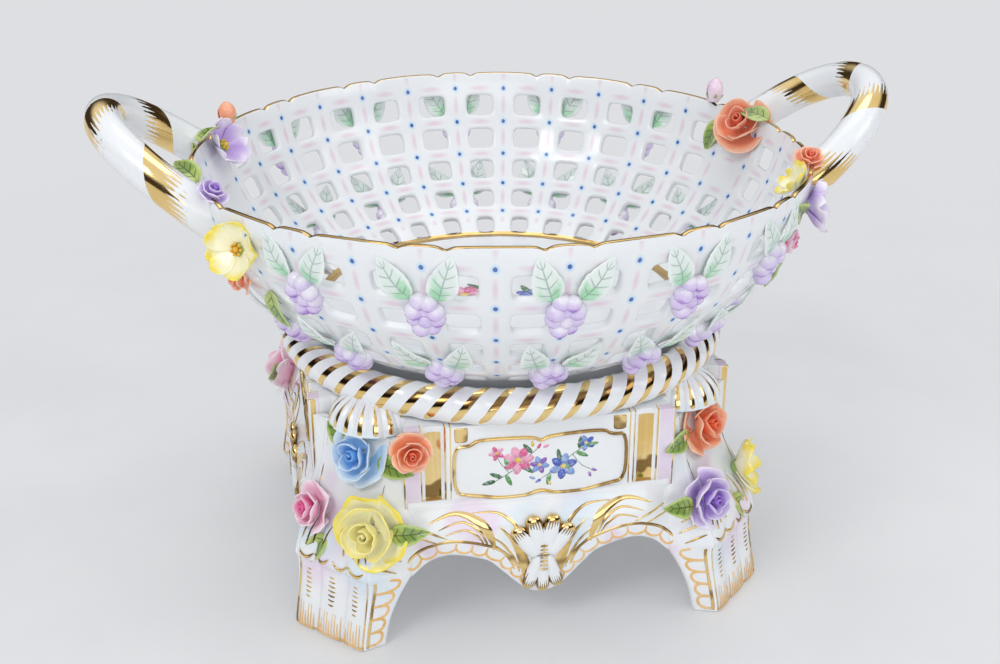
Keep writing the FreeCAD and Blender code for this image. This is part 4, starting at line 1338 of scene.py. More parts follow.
def eased_copy(node: str, name: str, finish: Finish, radius: float) -> Object:
    """A copy of a CAD solid whose edges are rounded as glaze rounds them.

    Args:
        node: The CAD node.
        name: The new piece's name.
        finish: Its finish.
        radius: The rounding in millimetres.

    Returns:
        The piece.
    """
    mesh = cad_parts[node].data.copy()
    mesh.name = name
    mesh.materials.clear()
    mesh.materials.append(finish.material())
    work = bmesh.new()
    work.from_mesh(mesh)
    bmesh.ops.remove_doubles(work, verts=work.verts, dist=5 * MERGE)
    bmesh.ops.dissolve_limit(work, angle_limit=radians(1.5), verts=work.verts, edges=work.edges)
    bmesh.ops.recalc_face_normals(work, faces=work.faces)
    work.to_mesh(mesh)
    work.free()
    mesh.shade_smooth()
    piece = bpy.data.objects.new(name, mesh)
    bpy.context.scene.collection.objects.link(piece)
    bevel = piece.modifiers.new("glaze_edge", "BEVEL")
    bevel.width = radius * MM
    bevel.segments = 3
    bevel.limit_method = "ANGLE"
    bevel.angle_limit = radians(28)
    bevel.harden_normals = True
    bevel.use_clamp_overlap = True
    return piece


# The drum's faces


Mark = tuple[float, float, float, float, float, Tone]


@dataclass
class Spray:
    """A small painted spray of made-up flowers, laid as thin enamel."""

    rise: float = 0.12
    blue: Tone = srgb(62, 92, 190)
    pale_blue: Tone = srgb(128, 160, 222)
    pink: Tone = srgb(222, 96, 150)
    pale_pink: Tone = srgb(240, 166, 196)
    purple: Tone = srgb(146, 104, 190)
    yellow: Tone = srgb(236, 202, 74)
    green: Tone = srgb(92, 158, 84)
    dark_green: Tone = srgb(66, 112, 74)

    def dab(self, draft: Draft, mark: Mark) -> None:
        """One pointed oval brush mark: place, direction in degrees, length, width and colour."""
        x, y, direction, length, width, tone = mark
        spin = radians(direction)
        along, aside = (Vector((cos(spin), sin(spin), 0)), Vector((-sin(spin), cos(spin), 0)))
        paint = {"red": tone[0], "green": tone[1], "blue": tone[2]}
        start = Vector((x, y, 0))
        sides = 10
        outline = []
        for side in range(sides):
            angle = tau * side / sides
            bulge = 0.82 + 0.18 * cos(angle)
            outline.append(start + along * length * (0.5 - 0.5 * cos(angle)) + aside * width / 2 * sin(angle)
                * bulge)
        lower = [draft.add(p - UP * 0.1, **paint) for p in outline]
        upper = [draft.add(p + UP * self.rise * 0.5, **paint) for p in outline]
        draft.grid([lower, upper], closed=True)
        draft.fan(upper, start + along * length * 0.5 + UP * self.rise, **paint)
        draft.faces.append(tuple(lower))

    def bloom(self, x: float, y: float, size: float, petals: int, outer: Tone, inner: Tone) -> list[Mark]:
        """A round flower of petals with a small eye."""
        marks = []
        for index in range(petals):
            direction = 360 * index / petals + 20 * x
            spin = radians(direction)
            marks.append((x + size * 0.16 * cos(spin), y + size * 0.16 * sin(spin), direction, size * 0.86,
                size * 0.74, outer if index % 2 else inner))
        marks.append((x - size * 0.2, y, 0, size * 0.42, size * 0.42, self.yellow))
        return marks

    def stem(self, points: Sequence[Pair]) -> list[Mark]:
        """A thin curved stem as a chain of short marks."""
        line = curve_through(points, 5)
        return [(a.x, a.y, degrees(atan2(b.y - a.y, b.x - a.x)), (b - a).length * 1.35, 0.42, self.dark_green)
            for a, b in zip(line, line[1:])]

    def leaves(self, places: Sequence[Triple], size: float) -> list[Mark]:
        """Paired green leaves."""
        return [(x, y, direction, size, size * 0.42, self.green if index % 2 else self.dark_green) for index,
            (x, y, direction) in enumerate(places)]

    def marks(self) -> list[Mark]:
        """Two sprigs that lean together: a pink bloom with buds, and blue bells with a purple daisy."""
        marks = self.stem(((-22, -8.0), (-14, -3.5), (-8, 1.5), (-2, 7.0)))
        marks += self.stem(((-14, -3.5), (-18, 2.0), (-19.5, 6.0)))
        marks += self.stem(((22, 8.0), (14, 3.0), (7, -3.0), (0.5, -7.5)))
        marks += self.stem(((14, 3.0), (18, -2.5), (22.0, -5.0)))
        marks += self.leaves(((-17, -5.6, 155), (-15.5, -4.4, -65), (-8.0, -0.6, -40), (-14, -1.4, 110),
            (17, 5.4, 85), (15.5, 4.0, -25), (8.5, 0.2, 100), (4, -5.2, -100), (-4.0, 5.4, 130),
            (11.5, -0.4, -75), (-20, -7.0, 190), (19.5, 6.6, 10)), 6.2)
        marks += self.bloom(-10.0, 2.4, 7.0, 7, self.pink, self.pale_pink)
        marks += self.bloom(10.0, -2.6, 6.4, 6, self.blue, self.pale_blue)
        marks += self.bloom(20.0, 8.0, 4.0, 5, self.pale_blue, self.blue)
        marks += self.bloom(-19.6, 6.6, 3.6, 5, self.pale_pink, self.pink)
        marks += self.bloom(-0.6, -0.8, 4.4, 6, self.purple, self.pale_blue)
        for x, y, direction, tone in ((-1.6, 7.2, 60, self.pink), (0.8, 7.6, 20, self.pale_pink),
                (0.2, -8.0, 210, self.blue), (-2.4, -7.4, 160, self.pale_blue), (22.4, -5.2, -20, self.purple),
                (21.4, -6.4, -70, self.purple), (-3.6, 8.4, 100, self.yellow), (3.0, -8.8, -60, self.yellow)):
            marks.append((x, y, direction, 3.0, 1.8, tone))
        return marks

    def onto(self, draft: Draft, place: Matrix) -> None:
        """Paints the spray on a flat place."""
        spray = Draft()
        for mark in self.marks():
            self.dab(spray, mark)
        draft.merge(spray, place)


@dataclass
class Drum:
    """The drum with its painted faces and their gilt mouldings."""

    half: float = 97.0
    panel_half_width: float = 39.0
    panel_half_height: float = 15.0
    panel_height: float = 80.0
    inset: float = 0.9
    moulding_half: float = 0.85
    moulding_rise: float = 1.1
    pad_rise: float = 0.5
    finish: Finish = DrumPaint()
    half_shares = ((0.1, 0.94), (0.72, 1.0), (0.82, 0.8), (1.0, 0.8), (1.0, -0.82), (0.78, -0.92),
        (0.5, -1.08), (0.16, -1.08))

    def on_face(self, x: float, z: float) -> Vector:
        """A point of the front face by shares of the panel's size."""
        return Vector((x * (self.panel_half_width - self.inset), -self.half,
            self.panel_height + z * (self.panel_half_height - self.inset)))

    def moulding(self) -> Draft:
        """The bracket-shaped moulding of the front face, with gilt pads in its corners."""
        draft = Draft()
        shares = [(0.0, 0.78)] + list(self.half_shares) + [(0.0, -0.92)]
        shares += [(-x, z) for x, z in reversed(self.half_shares)]
        outward = Vector((0, -1, 0))
        line = softened([self.on_face(x, z) for x, z in shares])
        ribbon(draft, [(p, outward, self.moulding_half) for p in line], self.moulding_rise, closed=True)
        for sign in (-1, 1):
            ribbon(draft, [(self.on_face(sign * x, z), outward, half) for x, z,
                half in ((0.915, 0.96, 2.4), (0.915, 1.0, 3.1), (0.915, 1.2, 3.2), (0.915, 1.4, 3.2),
                (0.915, 1.43, 3.0))], self.pad_rise)
        return draft

    def build(self) -> None:
        """Dresses the drum and sets a moulding and a spray on each face."""
        drum = eased_copy("stand_drum", "drum", self.finish, 0.7)
        settle(drum, Body.STAND, Slot.WHITE, "stand_drum")
        moulding = self.moulding()
        flat = Matrix.Translation((0, -self.half, self.panel_height)) @ Matrix.Rotation(pi / 2, 4, "X")
        for side in Side:
            name = side.name.lower()
            place = turn(side.value + 90)
            frame_piece = Draft()
            frame_piece.merge(moulding, place)
            piece = frame_piece.build("moulding_" + name, Burnished().material())
            settle(piece, Body.STAND, Slot.GILDED, "panel_frame_" + name)
            spray = Draft()
            Spray().onto(spray, place @ flat)
            settle(spray.build("spray_" + name, Enamel().material()), Body.STAND, Slot.WHITE)


# Legs, aprons and their gilding


@dataclass
class Leg:
    """A bracket leg: splayed fluted foot, knee with side wings, and slim back."""

    wall_back: float = 102.3
    top: float = 94.0
    foot_wing: Pair = (125.0, 24.5)
    knee_wing: Pair = (113.0, 32.0)
    web: Pair = (109.8, 25.8)
    knee: float = 34.0
    drum_bottom: float = 58.0
    wing_wall: float = 4.6
    bow: float = 1.9
    finish: Finish = Wash("leg_wash", low=14.0, high=70.0)
    front_stops = ((0.0, 134.2), (0.8, 134.9), (4.0, 134.7), (10.0, 133.4), (17.0, 131.7), (25.0, 130.3),
        (31.0, 129.7), (33.4, 130.2), (34.6, 131.4), (37.0, 131.3), (46.0, 127.6), (54.0, 123.0),
        (58.0, 120.8), (66.0, 116.0), (76.0, 111.6), (88.0, 108.8), (94.0, 108.0))
    columns = ((0.0, 0.7), (4.5, 0.5), (6.4, 0.2), (7.5, -1.1), (8.6, 0.2), (11.0, 0.5), (14.5, 0.6),
        (17.6, 0.3), (18.6, -0.7), (19.6, 0.0))

    def front(self, height: float) -> float:
        """The outer face's distance from the axis."""
        for (low, first), (high, last) in zip(self.front_stops, self.front_stops[1:]):
            if low <= height <= high:
                return mixed(first, last, (height - low) / (high - low))
        return self.front_stops[-1][1]

    def half(self, height: float) -> float:
        """Half the outer face's width."""
        return mixed(mixed(20.5, 21.5, ease(height, 18, 36)), 19.8, ease(height, 56, 66))

    def wing(self, height: float) -> Pair:
        """The wing's tip: distance from the axis and from the middle."""
        share = min(height / self.knee, 1.0)
        radius = mixed(self.foot_wing[0], self.knee_wing[0], share)
        half = mixed(self.foot_wing[1], self.knee_wing[1], share)
        hollow = self.bow * sin(pi * share)
        radius += hollow - 3.5 * ease(height, self.knee, self.drum_bottom)
        half -= hollow
        rising = ease(height, 55, 66)
        return (mixed(radius, self.web[0], rising), mixed(half, self.web[1], rising))

    def on_front(self, across: float, height: float) -> tuple[Vector, Vector]:
        """A point of the outer face and its normal, with the radius along +X."""
        slope = (self.front(height + 0.7) - self.front(height - 0.7 if height > 0.7 else 0)) / 1.4
        relief = 0.0
        fluting = 1 - ease(height, 50, 62)
        for (near, first), (far, last) in zip(self.columns, self.columns[1:]):
            if near <= abs(across) <= far:
                relief = mixed(first, last, (abs(across) - near) / (far - near)) * fluting
        return (Vector((self.front(height) + relief, across, height)), Vector((1, 0, -slope)).normalized())

    def on_wing(self, share: float, height: float, sign: int) -> tuple[Vector, Vector]:
        """A point of the wing's outer face at a share of the way to its tip, and its normal."""
        radius, half = self.wing(height)
        inner = Vector((self.front(height) - 1.0, sign * self.half(height), height))
        tip = Vector((radius, sign * half, height))
        normal = Vector((abs(tip.y - inner.y), sign * abs(inner.x - tip.x), 0)).normalized()
        return (inner.lerp(tip, share), normal)

    def ring(self, draft: Draft, height: float) -> list[int]:
        """The plan of the leg at a height."""
        fluting = 1 - ease(height, 50, 62)
        width = self.half(height)
        radius, half = self.wing(height)
        face = self.front(height)
        corner = Vector((face - 1.3, width))
        tip = Vector((radius, half))
        inward = Vector((-1.0, -0.75)).normalized() * self.wing_wall
        right = [(face + relief * fluting, across * width / 20.5) for across, relief in self.columns]
        right += [(face - 0.5, width - 0.2), tuple(corner)]
        right += [tuple(corner.lerp(tip, share)) for share in (0.15, 0.5, 0.85)]
        right += [tuple(tip), tuple(tip + inward * 0.55), tuple(tip + inward)]
        back = mixed(mixed(123.0, 107.0, min(height / self.knee, 1)), self.wall_back, ease(height, 56, 66))
        right += [(mixed(tip.x + inward.x, back, 0.55), (half + inward.y) * 0.5)]
        points = right + [(back, 0.0)] + [(r, -a) for r, a in reversed(right[1:])]
        return [draft.add((r, a, height)) for r, a in points]

    def body(self) -> Draft:
        """The porcelain of the leg, with its radius along +X."""
        draft = Draft()
        levels = [0.0, 0.9, 2.0, 6.0, 12.0, 18.0, 25.0, 30.5, 33.2, 34.4, 36.0, 41.0, 48.0, 54.0, 57.5, 60.0,
            66.0, 74.0, 84.0, 93.2, 94.0]
        rings = [self.ring(draft, level) for level in levels]
        draft.grid(rings, closed=True)
        for ring, level in ((rings[0], 0.0), (rings[-1], 94.0)):
            middle = sum((draft.points[i] for i in ring), Vector((0, 0, 0))) / len(ring)
            inner = [draft.add(draft.points[i].lerp(middle, 0.08)) for i in ring]
            draft.grid([ring, inner], closed=True)
            draft.fan(inner, middle)
        return draft

    def stroke(self, draft: Draft, points: Sequence[Triple], steps: int = 3, rise: float = 0.22) -> None:
        """A gold stroke on the outer face through (across, height, half width) points."""
        line = curve_through(points, steps)
        ribbon(draft, [(*self.on_front(p.x, p.y), max(p.z, 0.1)) for p in line], rise)

    def wing_stroke(self, draft: Draft, points: Sequence[Triple], sign: int, steps: int = 3) -> None:
        """A gold stroke on a wing through (share, height, half width) points."""
        line = curve_through(points, steps)
        ribbon(draft, [(*self.on_wing(p.x, p.y, sign), max(p.z, 0.1)) for p in line], 0.22)

    def gilding(self) -> tuple[Draft, Draft]:
        """Lines, dashes, scallops and crescents: the burnished ones and the pale ones."""
        draft, pale = (Draft(), Draft())
        for across in (-19.3, -7.5, 7.5, 19.3):
            self.stroke(draft, [(across, 1.2, 0.5), (across, 17, 0.45), (across, 32.4, 0.4)], 8)
        for middle, width in ((-13.3, 1.6), (0.0, 2.0), (13.3, 1.6)):
            for dash in range(7):
                height = 15.5 + dash * 2.2
                half = width * (0.62 + 0.38 * sin(pi * (dash + 0.5) / 7))
                self.stroke(draft, [(middle - half, height + 0.3, 0.3), (middle, height, 0.55),
                    (middle + half, height + 0.3, 0.3)], 2)
        for across in (x * 1.55 for x in range(-12, 13)):
            if abs(abs(across) - 7.5) > 0.7:
                tall = 8.5 + 5.0 * sin(across * 2.7) ** 2
                self.stroke(pale, [(across, 0.9, 0.6), (across, 4.4, 0.42), (across, tall, 0.15)], 2, 0.16)
        self.stroke(pale, [(x * 1.95, 1.0, 0.7) for x in range(-10, 11)], 1)
        for sign in (-1, 1):
            for near, far in ((1.2, 9.2), (10.0, 18.8)):
                middle = (near + far) / 2
                self.stroke(draft, [(sign * near, 38.5, 0.2), (sign * mixed(near, middle, 0.5), 36.4, 0.7),
                    (sign * middle, 35.7, 0.9), (sign * mixed(middle, far, 0.5), 36.4, 0.7),
                    (sign * far, 38.5, 0.2)], 3)
            self.stroke(draft, [(sign * 17.3, 60.0, 0.3), (sign * 17.3, 78, 0.35), (sign * 17.3, 93, 0.3)], 6)
            for across, low, high in ((15.0, 41.0, 55.0), (11.5, 42.5, 56.0), (18.4, 40.5, 53.0),
                    (6.0, 42.0, 54.0)):
                self.stroke(draft, [(sign * across, low, 0.55), (sign * (across - 1.2), (low + high) / 2, 0.4),
                    (sign * (across - 4.0), high, 0.12)], 4)
            self.wing_stroke(draft, [(0.1, 1.5, 0.8), (0.1, 17, 0.75), (0.08, 33, 0.7)], sign, 8)
            cells = 5
            low, high = (2.0, 33.0)
            for cell in range(cells):
                start, end = (mixed(low, high, (cell + k) / cells) for k in (0, 1))
                self.wing_stroke(pale, [(0.46, start, 0.7), (0.68, mixed(start, end, 0.16), 0.7),
                    (0.76, mixed(start, end, 0.5), 0.7), (0.68, mixed(start, end, 0.84), 0.7),
                    (0.46, end, 0.7)], sign)
                self.wing_stroke(pale, [(0.12, start, 0.6), (0.5, start, 0.7)], sign)
            for height, reach in ((38, 0.6), (43, 0.7), (48, 0.6), (53, 0.45)):
                self.wing_stroke(draft, [(0.05, height + 2.5, 0.15), (reach * 0.5, height + 0.6, 0.6),
                    (reach, height - 2.0, 0.2)], sign)
        return (draft, pale)

    def build(self) -> None:
        """Sets a leg with its gilding at every corner."""
        body, (gilding, pale) = (self.body(), self.gilding())
        for corner in Corner:
            name = corner.name.lower()
            for part, title, finish, slot in ((body, "bracket_leg_", self.finish, Slot.WHITE),
                    (gilding, "leg_gilding_", Burnished(), Slot.GILDED),
                    (pale, "leg_lustre_", Lustre(), Slot.GILDED)):
                draft = Draft()
                draft.merge(part, turn(corner.value))
                piece = draft.build(title + name, finish.material())
                if part is body:
                    settle(rounded(piece), Body.STAND, slot, "leg_" + name)
                else:
                    settle(piece, Body.STAND, slot)


@dataclass
class Apron:
    """The arched wall between two legs, with its lace border, scrolls and shell."""

    front: float = 103.0
    back: float = 95.2
    drum_face: float = 97.1
    cove: Pair = (50.0, 66.0)
    end_recess: float = 2.2
    shell_waist: float = 38.0
    shell_top: float = 58.0
    shell_bottom: float = 18.5
    lobe_radius: float = 4.3
    waist_spread: float = 4.2
    scroll_weight: float = 1.15
    finish: Finish = Wash("apron_wash", low=20.0, high=66.0)
    arch_points = ((-58.4, 31.8), (-56.5, 33.6), (-52.0, 37.8), (-47.0, 40.2), (-42.0, 41.0), (-36.5, 40.3),
        (-30.0, 38.4), (-24.0, 35.9), (-19.5, 31.7), (-14.5, 26.4), (-11.0, 22.8), (-7.6, 20.0), (-4.0, 18.1),
        (0.0, 17.5))
    lace_points = arch_points[1:-2]

    def face_at(self, across: float, height: float) -> float:
        """How far forward the face lies: it curves back to the drum above, and to the legs beside it."""
        hollow = (self.front - self.drum_face) * ease(height, *self.cove)
        hollow += self.end_recess * ease(abs(across), 47, 58) * ease(height, 34, 54)
        return min(-self.front + hollow, -self.drum_face)

    def on_face(self, across: float, height: float) -> tuple[Vector, Vector]:
        """A point of the front apron's face and its normal."""
        slope = self.face_at(across, height + 0.5) - self.face_at(across, height - 0.5)
        return (Vector((across, self.face_at(across, height), height)), Vector((0, -1, slope)).normalized())

    def wall(self) -> Draft:
        """The porcelain: a rolled lower edge, a plain face and a cove into the drum."""
        draft = Draft()
        left = curve_through([(x, z, 0.0) for x, z in self.arch_points], 4)
        edge = left + [Vector((-p.x, p.y, 0)) for p in reversed(left[:-1])]
        columns = []
        for p in edge:
            section = [(-96.4, 66.0), (-self.back, 57.9), (-self.back, p.y + 1.0),
                (-self.back - 0.4, p.y + 0.3), (-self.back - 1.3, p.y), (-self.front + 1.5, p.y),
                (-self.front + 0.4, p.y + 0.4)]
            section += [(self.face_at(p.x, z), z) for z in [mixed(p.y + 1.4, 48.0, k / 5) for k in range(6)]
                + [51.0, 54.0, 57.0, 60.0, 63.0, 66.0]]
            columns.append([draft.add((p.x, y, z)) for y, z in section])
        draft.grid(columns, closed=True)
        draft.faces += [tuple(columns[0]), tuple(columns[-1])]
        return draft

    def stroke(self, draft: Draft, points: Sequence[Triple], sign: int = 1, steps: int = 5,
            rise: float = 0.25) -> None:
        """A gold stroke through (across, height, half width) points, mirrored by the sign."""
        line = curve_through(points, steps)
        ribbon(draft, [(*self.on_face(sign * p.x, p.y), max(p.z, 0.1)) for p in line], rise)

    def lace(self, draft: Draft, pale: Draft, sign: int) -> None:
        """The border along the arch: a dark line, then pale ticks and scallops, clear of the plain edge."""
        arch = curve_through([(x, z, 0.0) for x, z in self.lace_points], 8)
        length = [0.0]
        for a, b in zip(arch, arch[1:]):
            length.append(length[-1] + (b - a).length)

        def at(way: float, offset: float) -> Pair:
            """A point at a way along the arch and an offset from its edge."""
            index = next((i for i in range(1, len(length)) if length[i] >= way), len(length) - 1)
            a, b = (arch[index - 1], arch[index])
            share = (way - length[index - 1]) / (length[index] - length[index - 1])
            side = (b - a).normalized()
            point = a.lerp(b, min(share, 1.0))
            return (point.x - side.y * offset, point.y + side.x * offset)
        total = length[-1]
        cells = 9
        steps = 72
        self.stroke(draft, [(*at(total * i / 24, 6.7 + 0.8 * sin(pi * i / 24)), 0.78) for i in range(25)],
            sign, 2)
        line = []
        for i in range(steps + 1):
            wave = abs(sin(pi * cells * i / steps))
            line.append((*at(total * i / steps, 3.6 - 1.7 * wave ** 0.7), 0.62))
        self.stroke(pale, line, sign, 1)
        for cell in range(cells):
            way = total * cell / cells
            self.stroke(pale, [(*at(way, 3.3), 0.7), (*at(way, 4.9), 0.5), (*at(way, 6.3), 0.4)], sign, 2)

    def scrolls(self, draft: Draft, sign: int) -> None:
        """Feathered strokes that sweep from the panel down beside the shell."""
        for points in (((-50, 57, 0.3), (-38, 60, 1.1), (-27, 55, 1.9), (-22.5, 46.5, 1.3), (-21.8, 42, 0.3)),
                ((-46, 54, 0.2), (-36, 56.5, 0.5), (-28.5, 52.4, 0.6), (-24.8, 45.5, 0.4)),
                ((-43, 51.5, 0.2), (-35, 53.2, 0.4), (-29.5, 50.2, 0.5), (-26.5, 46, 0.3)),
                ((-19, 53, 0.3), (-13.5, 46, 1.0), (-9.2, 37, 2.2), (-7.2, 28.5, 1.9), (-7.4, 23.5, 0.3)),
                ((-25, 50.5, 0.2), (-18, 44.5, 0.5), (-12.8, 36.5, 0.6), (-10.4, 29.5, 0.3)),
                ((-23.5, 46, 0.2), (-18.5, 41.5, 0.4), (-14.5, 35.5, 0.5), (-12.6, 31, 0.3)),
                ((-31, 59.5, 0.2), (-20, 58.8, 0.6), (-12.5, 53.6, 0.8), (-10.4, 47.5, 0.2)),
                ((-56, 55.4, 0.4), (-49, 52.8, 0.45), (-42, 49.6, 0.15)),
                ((-57, 51.8, 0.4), (-51, 49.6, 0.4), (-46, 47.6, 0.15))):
            self.stroke(draft, [(x, z, self.scroll_weight * half) for x, z, half in points], sign)

    def lobe(self, draft: Draft, angle: float, length: float, width: float, height: float) -> None:
        """A drop-shaped lobe of the shell from its broad waist outward.

        Args:
            draft: Takes the lobe.
            angle: Its turn from upward, in degrees.
            length: Its length.
            width: Half its greatest width.
            height: How far it stands out.
        """
        profile = ((0.0, 0.84), (0.25, 0.88), (0.5, 0.94), (0.72, 1.0), (0.88, 0.9), (0.97, 0.6), (1.0, 0.22))
        spin = radians(angle)
        along, aside = (Vector((sin(spin), 0, cos(spin))), Vector((cos(spin), 0, -sin(spin))))
        base = Vector((self.waist_spread * sin(spin), -self.front, self.shell_waist))
        outward = Vector((0, -1, 0))
        rows = []
        for share, size in profile:
            row = []
            for step in range(9):
                swing = pi * (step / 8 - 0.5)
                x, y = (sin(swing), cos(swing))
                lift = height * (1 - 0.26 * share) * size ** 0.8 * (y * 0.86 + 0.14) - (0.9 if y < 0.01
                    else 0.0)
                row.append(draft.add(base + along * length * share + aside * x * width * size + outward * lift,
                    tip=share, lobe=x))
            rows.append(row)
        draft.grid(rows, closed=True)
        draft.faces += [tuple(rows[0]), tuple(rows[-1])]

    def shell(self) -> Draft:
        """The shell: four lobes fan up and three hang down."""
        draft = Draft()
        rise, drop = (self.shell_top - self.shell_waist, self.shell_waist - self.shell_bottom)
        for angle, share in ((-36, 0.88), (-12, 1.0), (12, 1.0), (36, 0.88)):
            self.lobe(draft, angle, rise * share, self.lobe_radius * 1.05, 3.9)
        for angle, share in ((161, 0.94), (180, 1.0), (199, 0.94)):
            self.lobe(draft, angle, drop * share, self.lobe_radius * 0.84, 3.7)
        return draft

    def build(self) -> None:
        """Dresses the four aprons."""
        gilding, pale = (Draft(), Draft())
        for sign in (-1, 1):
            self.lace(gilding, pale, sign)
            self.scrolls(gilding, sign)
        for dash in range(7):
            height = self.shell_waist - 6.5 + dash * 2.0
            ribbon(gilding, [(Vector((x, -self.front - 3.3, height)), Vector((0, -1, 0)), w) for x,
                w in ((-1.7, 0.3), (0, 0.6), (1.7, 0.3))], 0.3)
        parts = ((self.wall(), "apron_wall_", self.finish, Slot.WHITE, "apron_"),
            (self.shell(), "shell_", ShellPaint(), Slot.GILDED, "apron_shell_"),
            (gilding, "apron_gilding_", Burnished(), Slot.GILDED, ""),
            (pale, "apron_lace_", Lustre(), Slot.GILDED, ""))
        for side in Side:
            name = side.name.lower()
            for part, title, finish, slot, node in parts:
                draft = Draft()
                draft.merge(part, turn(side.value + 90))
                piece = draft.build(title + name, finish.material(), sharp=None if node else 80)
                if title == "shell_":
                    rounded(piece)
                settle(piece, Body.STAND, slot, *([node + name] if node else []))


@dataclass
class ShellCap:
    """A fluted shell canopy over a leg, under the rope ring."""

    centre: float = 97.0
    radius: float = 20.4
    rim: float = 94.6
    crown: float = 108.9
    wall: float = 2.4
    lobes: int = 18
    spread: float = 100.0
    flute: float = 0.9
    finish: Finish = CapPaint()

    def point(self, reach: float, angle: float, depth: float) -> Vector:
        """A point of the dome at a share of its radius, with its flutes."""
        lobe = abs(cos(radians(angle) * self.lobes / 2))
        groove = self.flute * (1 - lobe ** 0.7) * ease(reach, 0.15, 0.7)
        radius = (self.radius - depth) * reach - groove
        height = self.rim + (self.crown - self.rim - depth) * sqrt(max(1 - reach * reach, 0.0)) - groove * 0.5
        return Vector((self.centre, 0, 0)) + polar(radius, angle, height)

    def build(self) -> None:
        """Sets a canopy at every corner."""
        steps = int(self.spread / 2.5)
        angles = [2.5 * k for k in range(-steps, steps + 1)]
        reaches = (0.0, 0.12, 0.26, 0.42, 0.58, 0.72, 0.84, 0.93, 0.985, 1.0)
        base = Draft()
        rows = []
        for angle in angles:
            lobe_way = (angle * self.lobes / 360 + 0.5) % 1.0
            lobe = abs(lobe_way - 0.5) * 2
            row = [base.add(self.point(r, angle, 0.0), reach=r, lobe=lobe) for r in reaches]
            row += [base.add(self.point(r, angle, self.wall), reach=1.0, lobe=1.0) for r in reversed(reaches)]
            rows.append(row)
        base.grid(rows, closed=True)
        base.faces += [tuple(rows[0]), tuple(rows[-1])]
        for corner in Corner:
            name = corner.name.lower()
            draft = Draft()
            draft.merge(base, turn(corner.value))
            piece = draft.build("canopy_" + name, self.finish.material(), sharp=50)
            settle(piece, Body.STAND, Slot.GILDED, "shell_cap_" + name)


# Flowers, leaves and grapes


@dataclass(frozen=True)
class PetalRing:
    """One ring of a rose, in shares of the flower's radius and height."""

    count: int
    start: Pair
    belly: Pair
    lip: Pair
    span: float
    curl: float
    droop: float
    tone: float


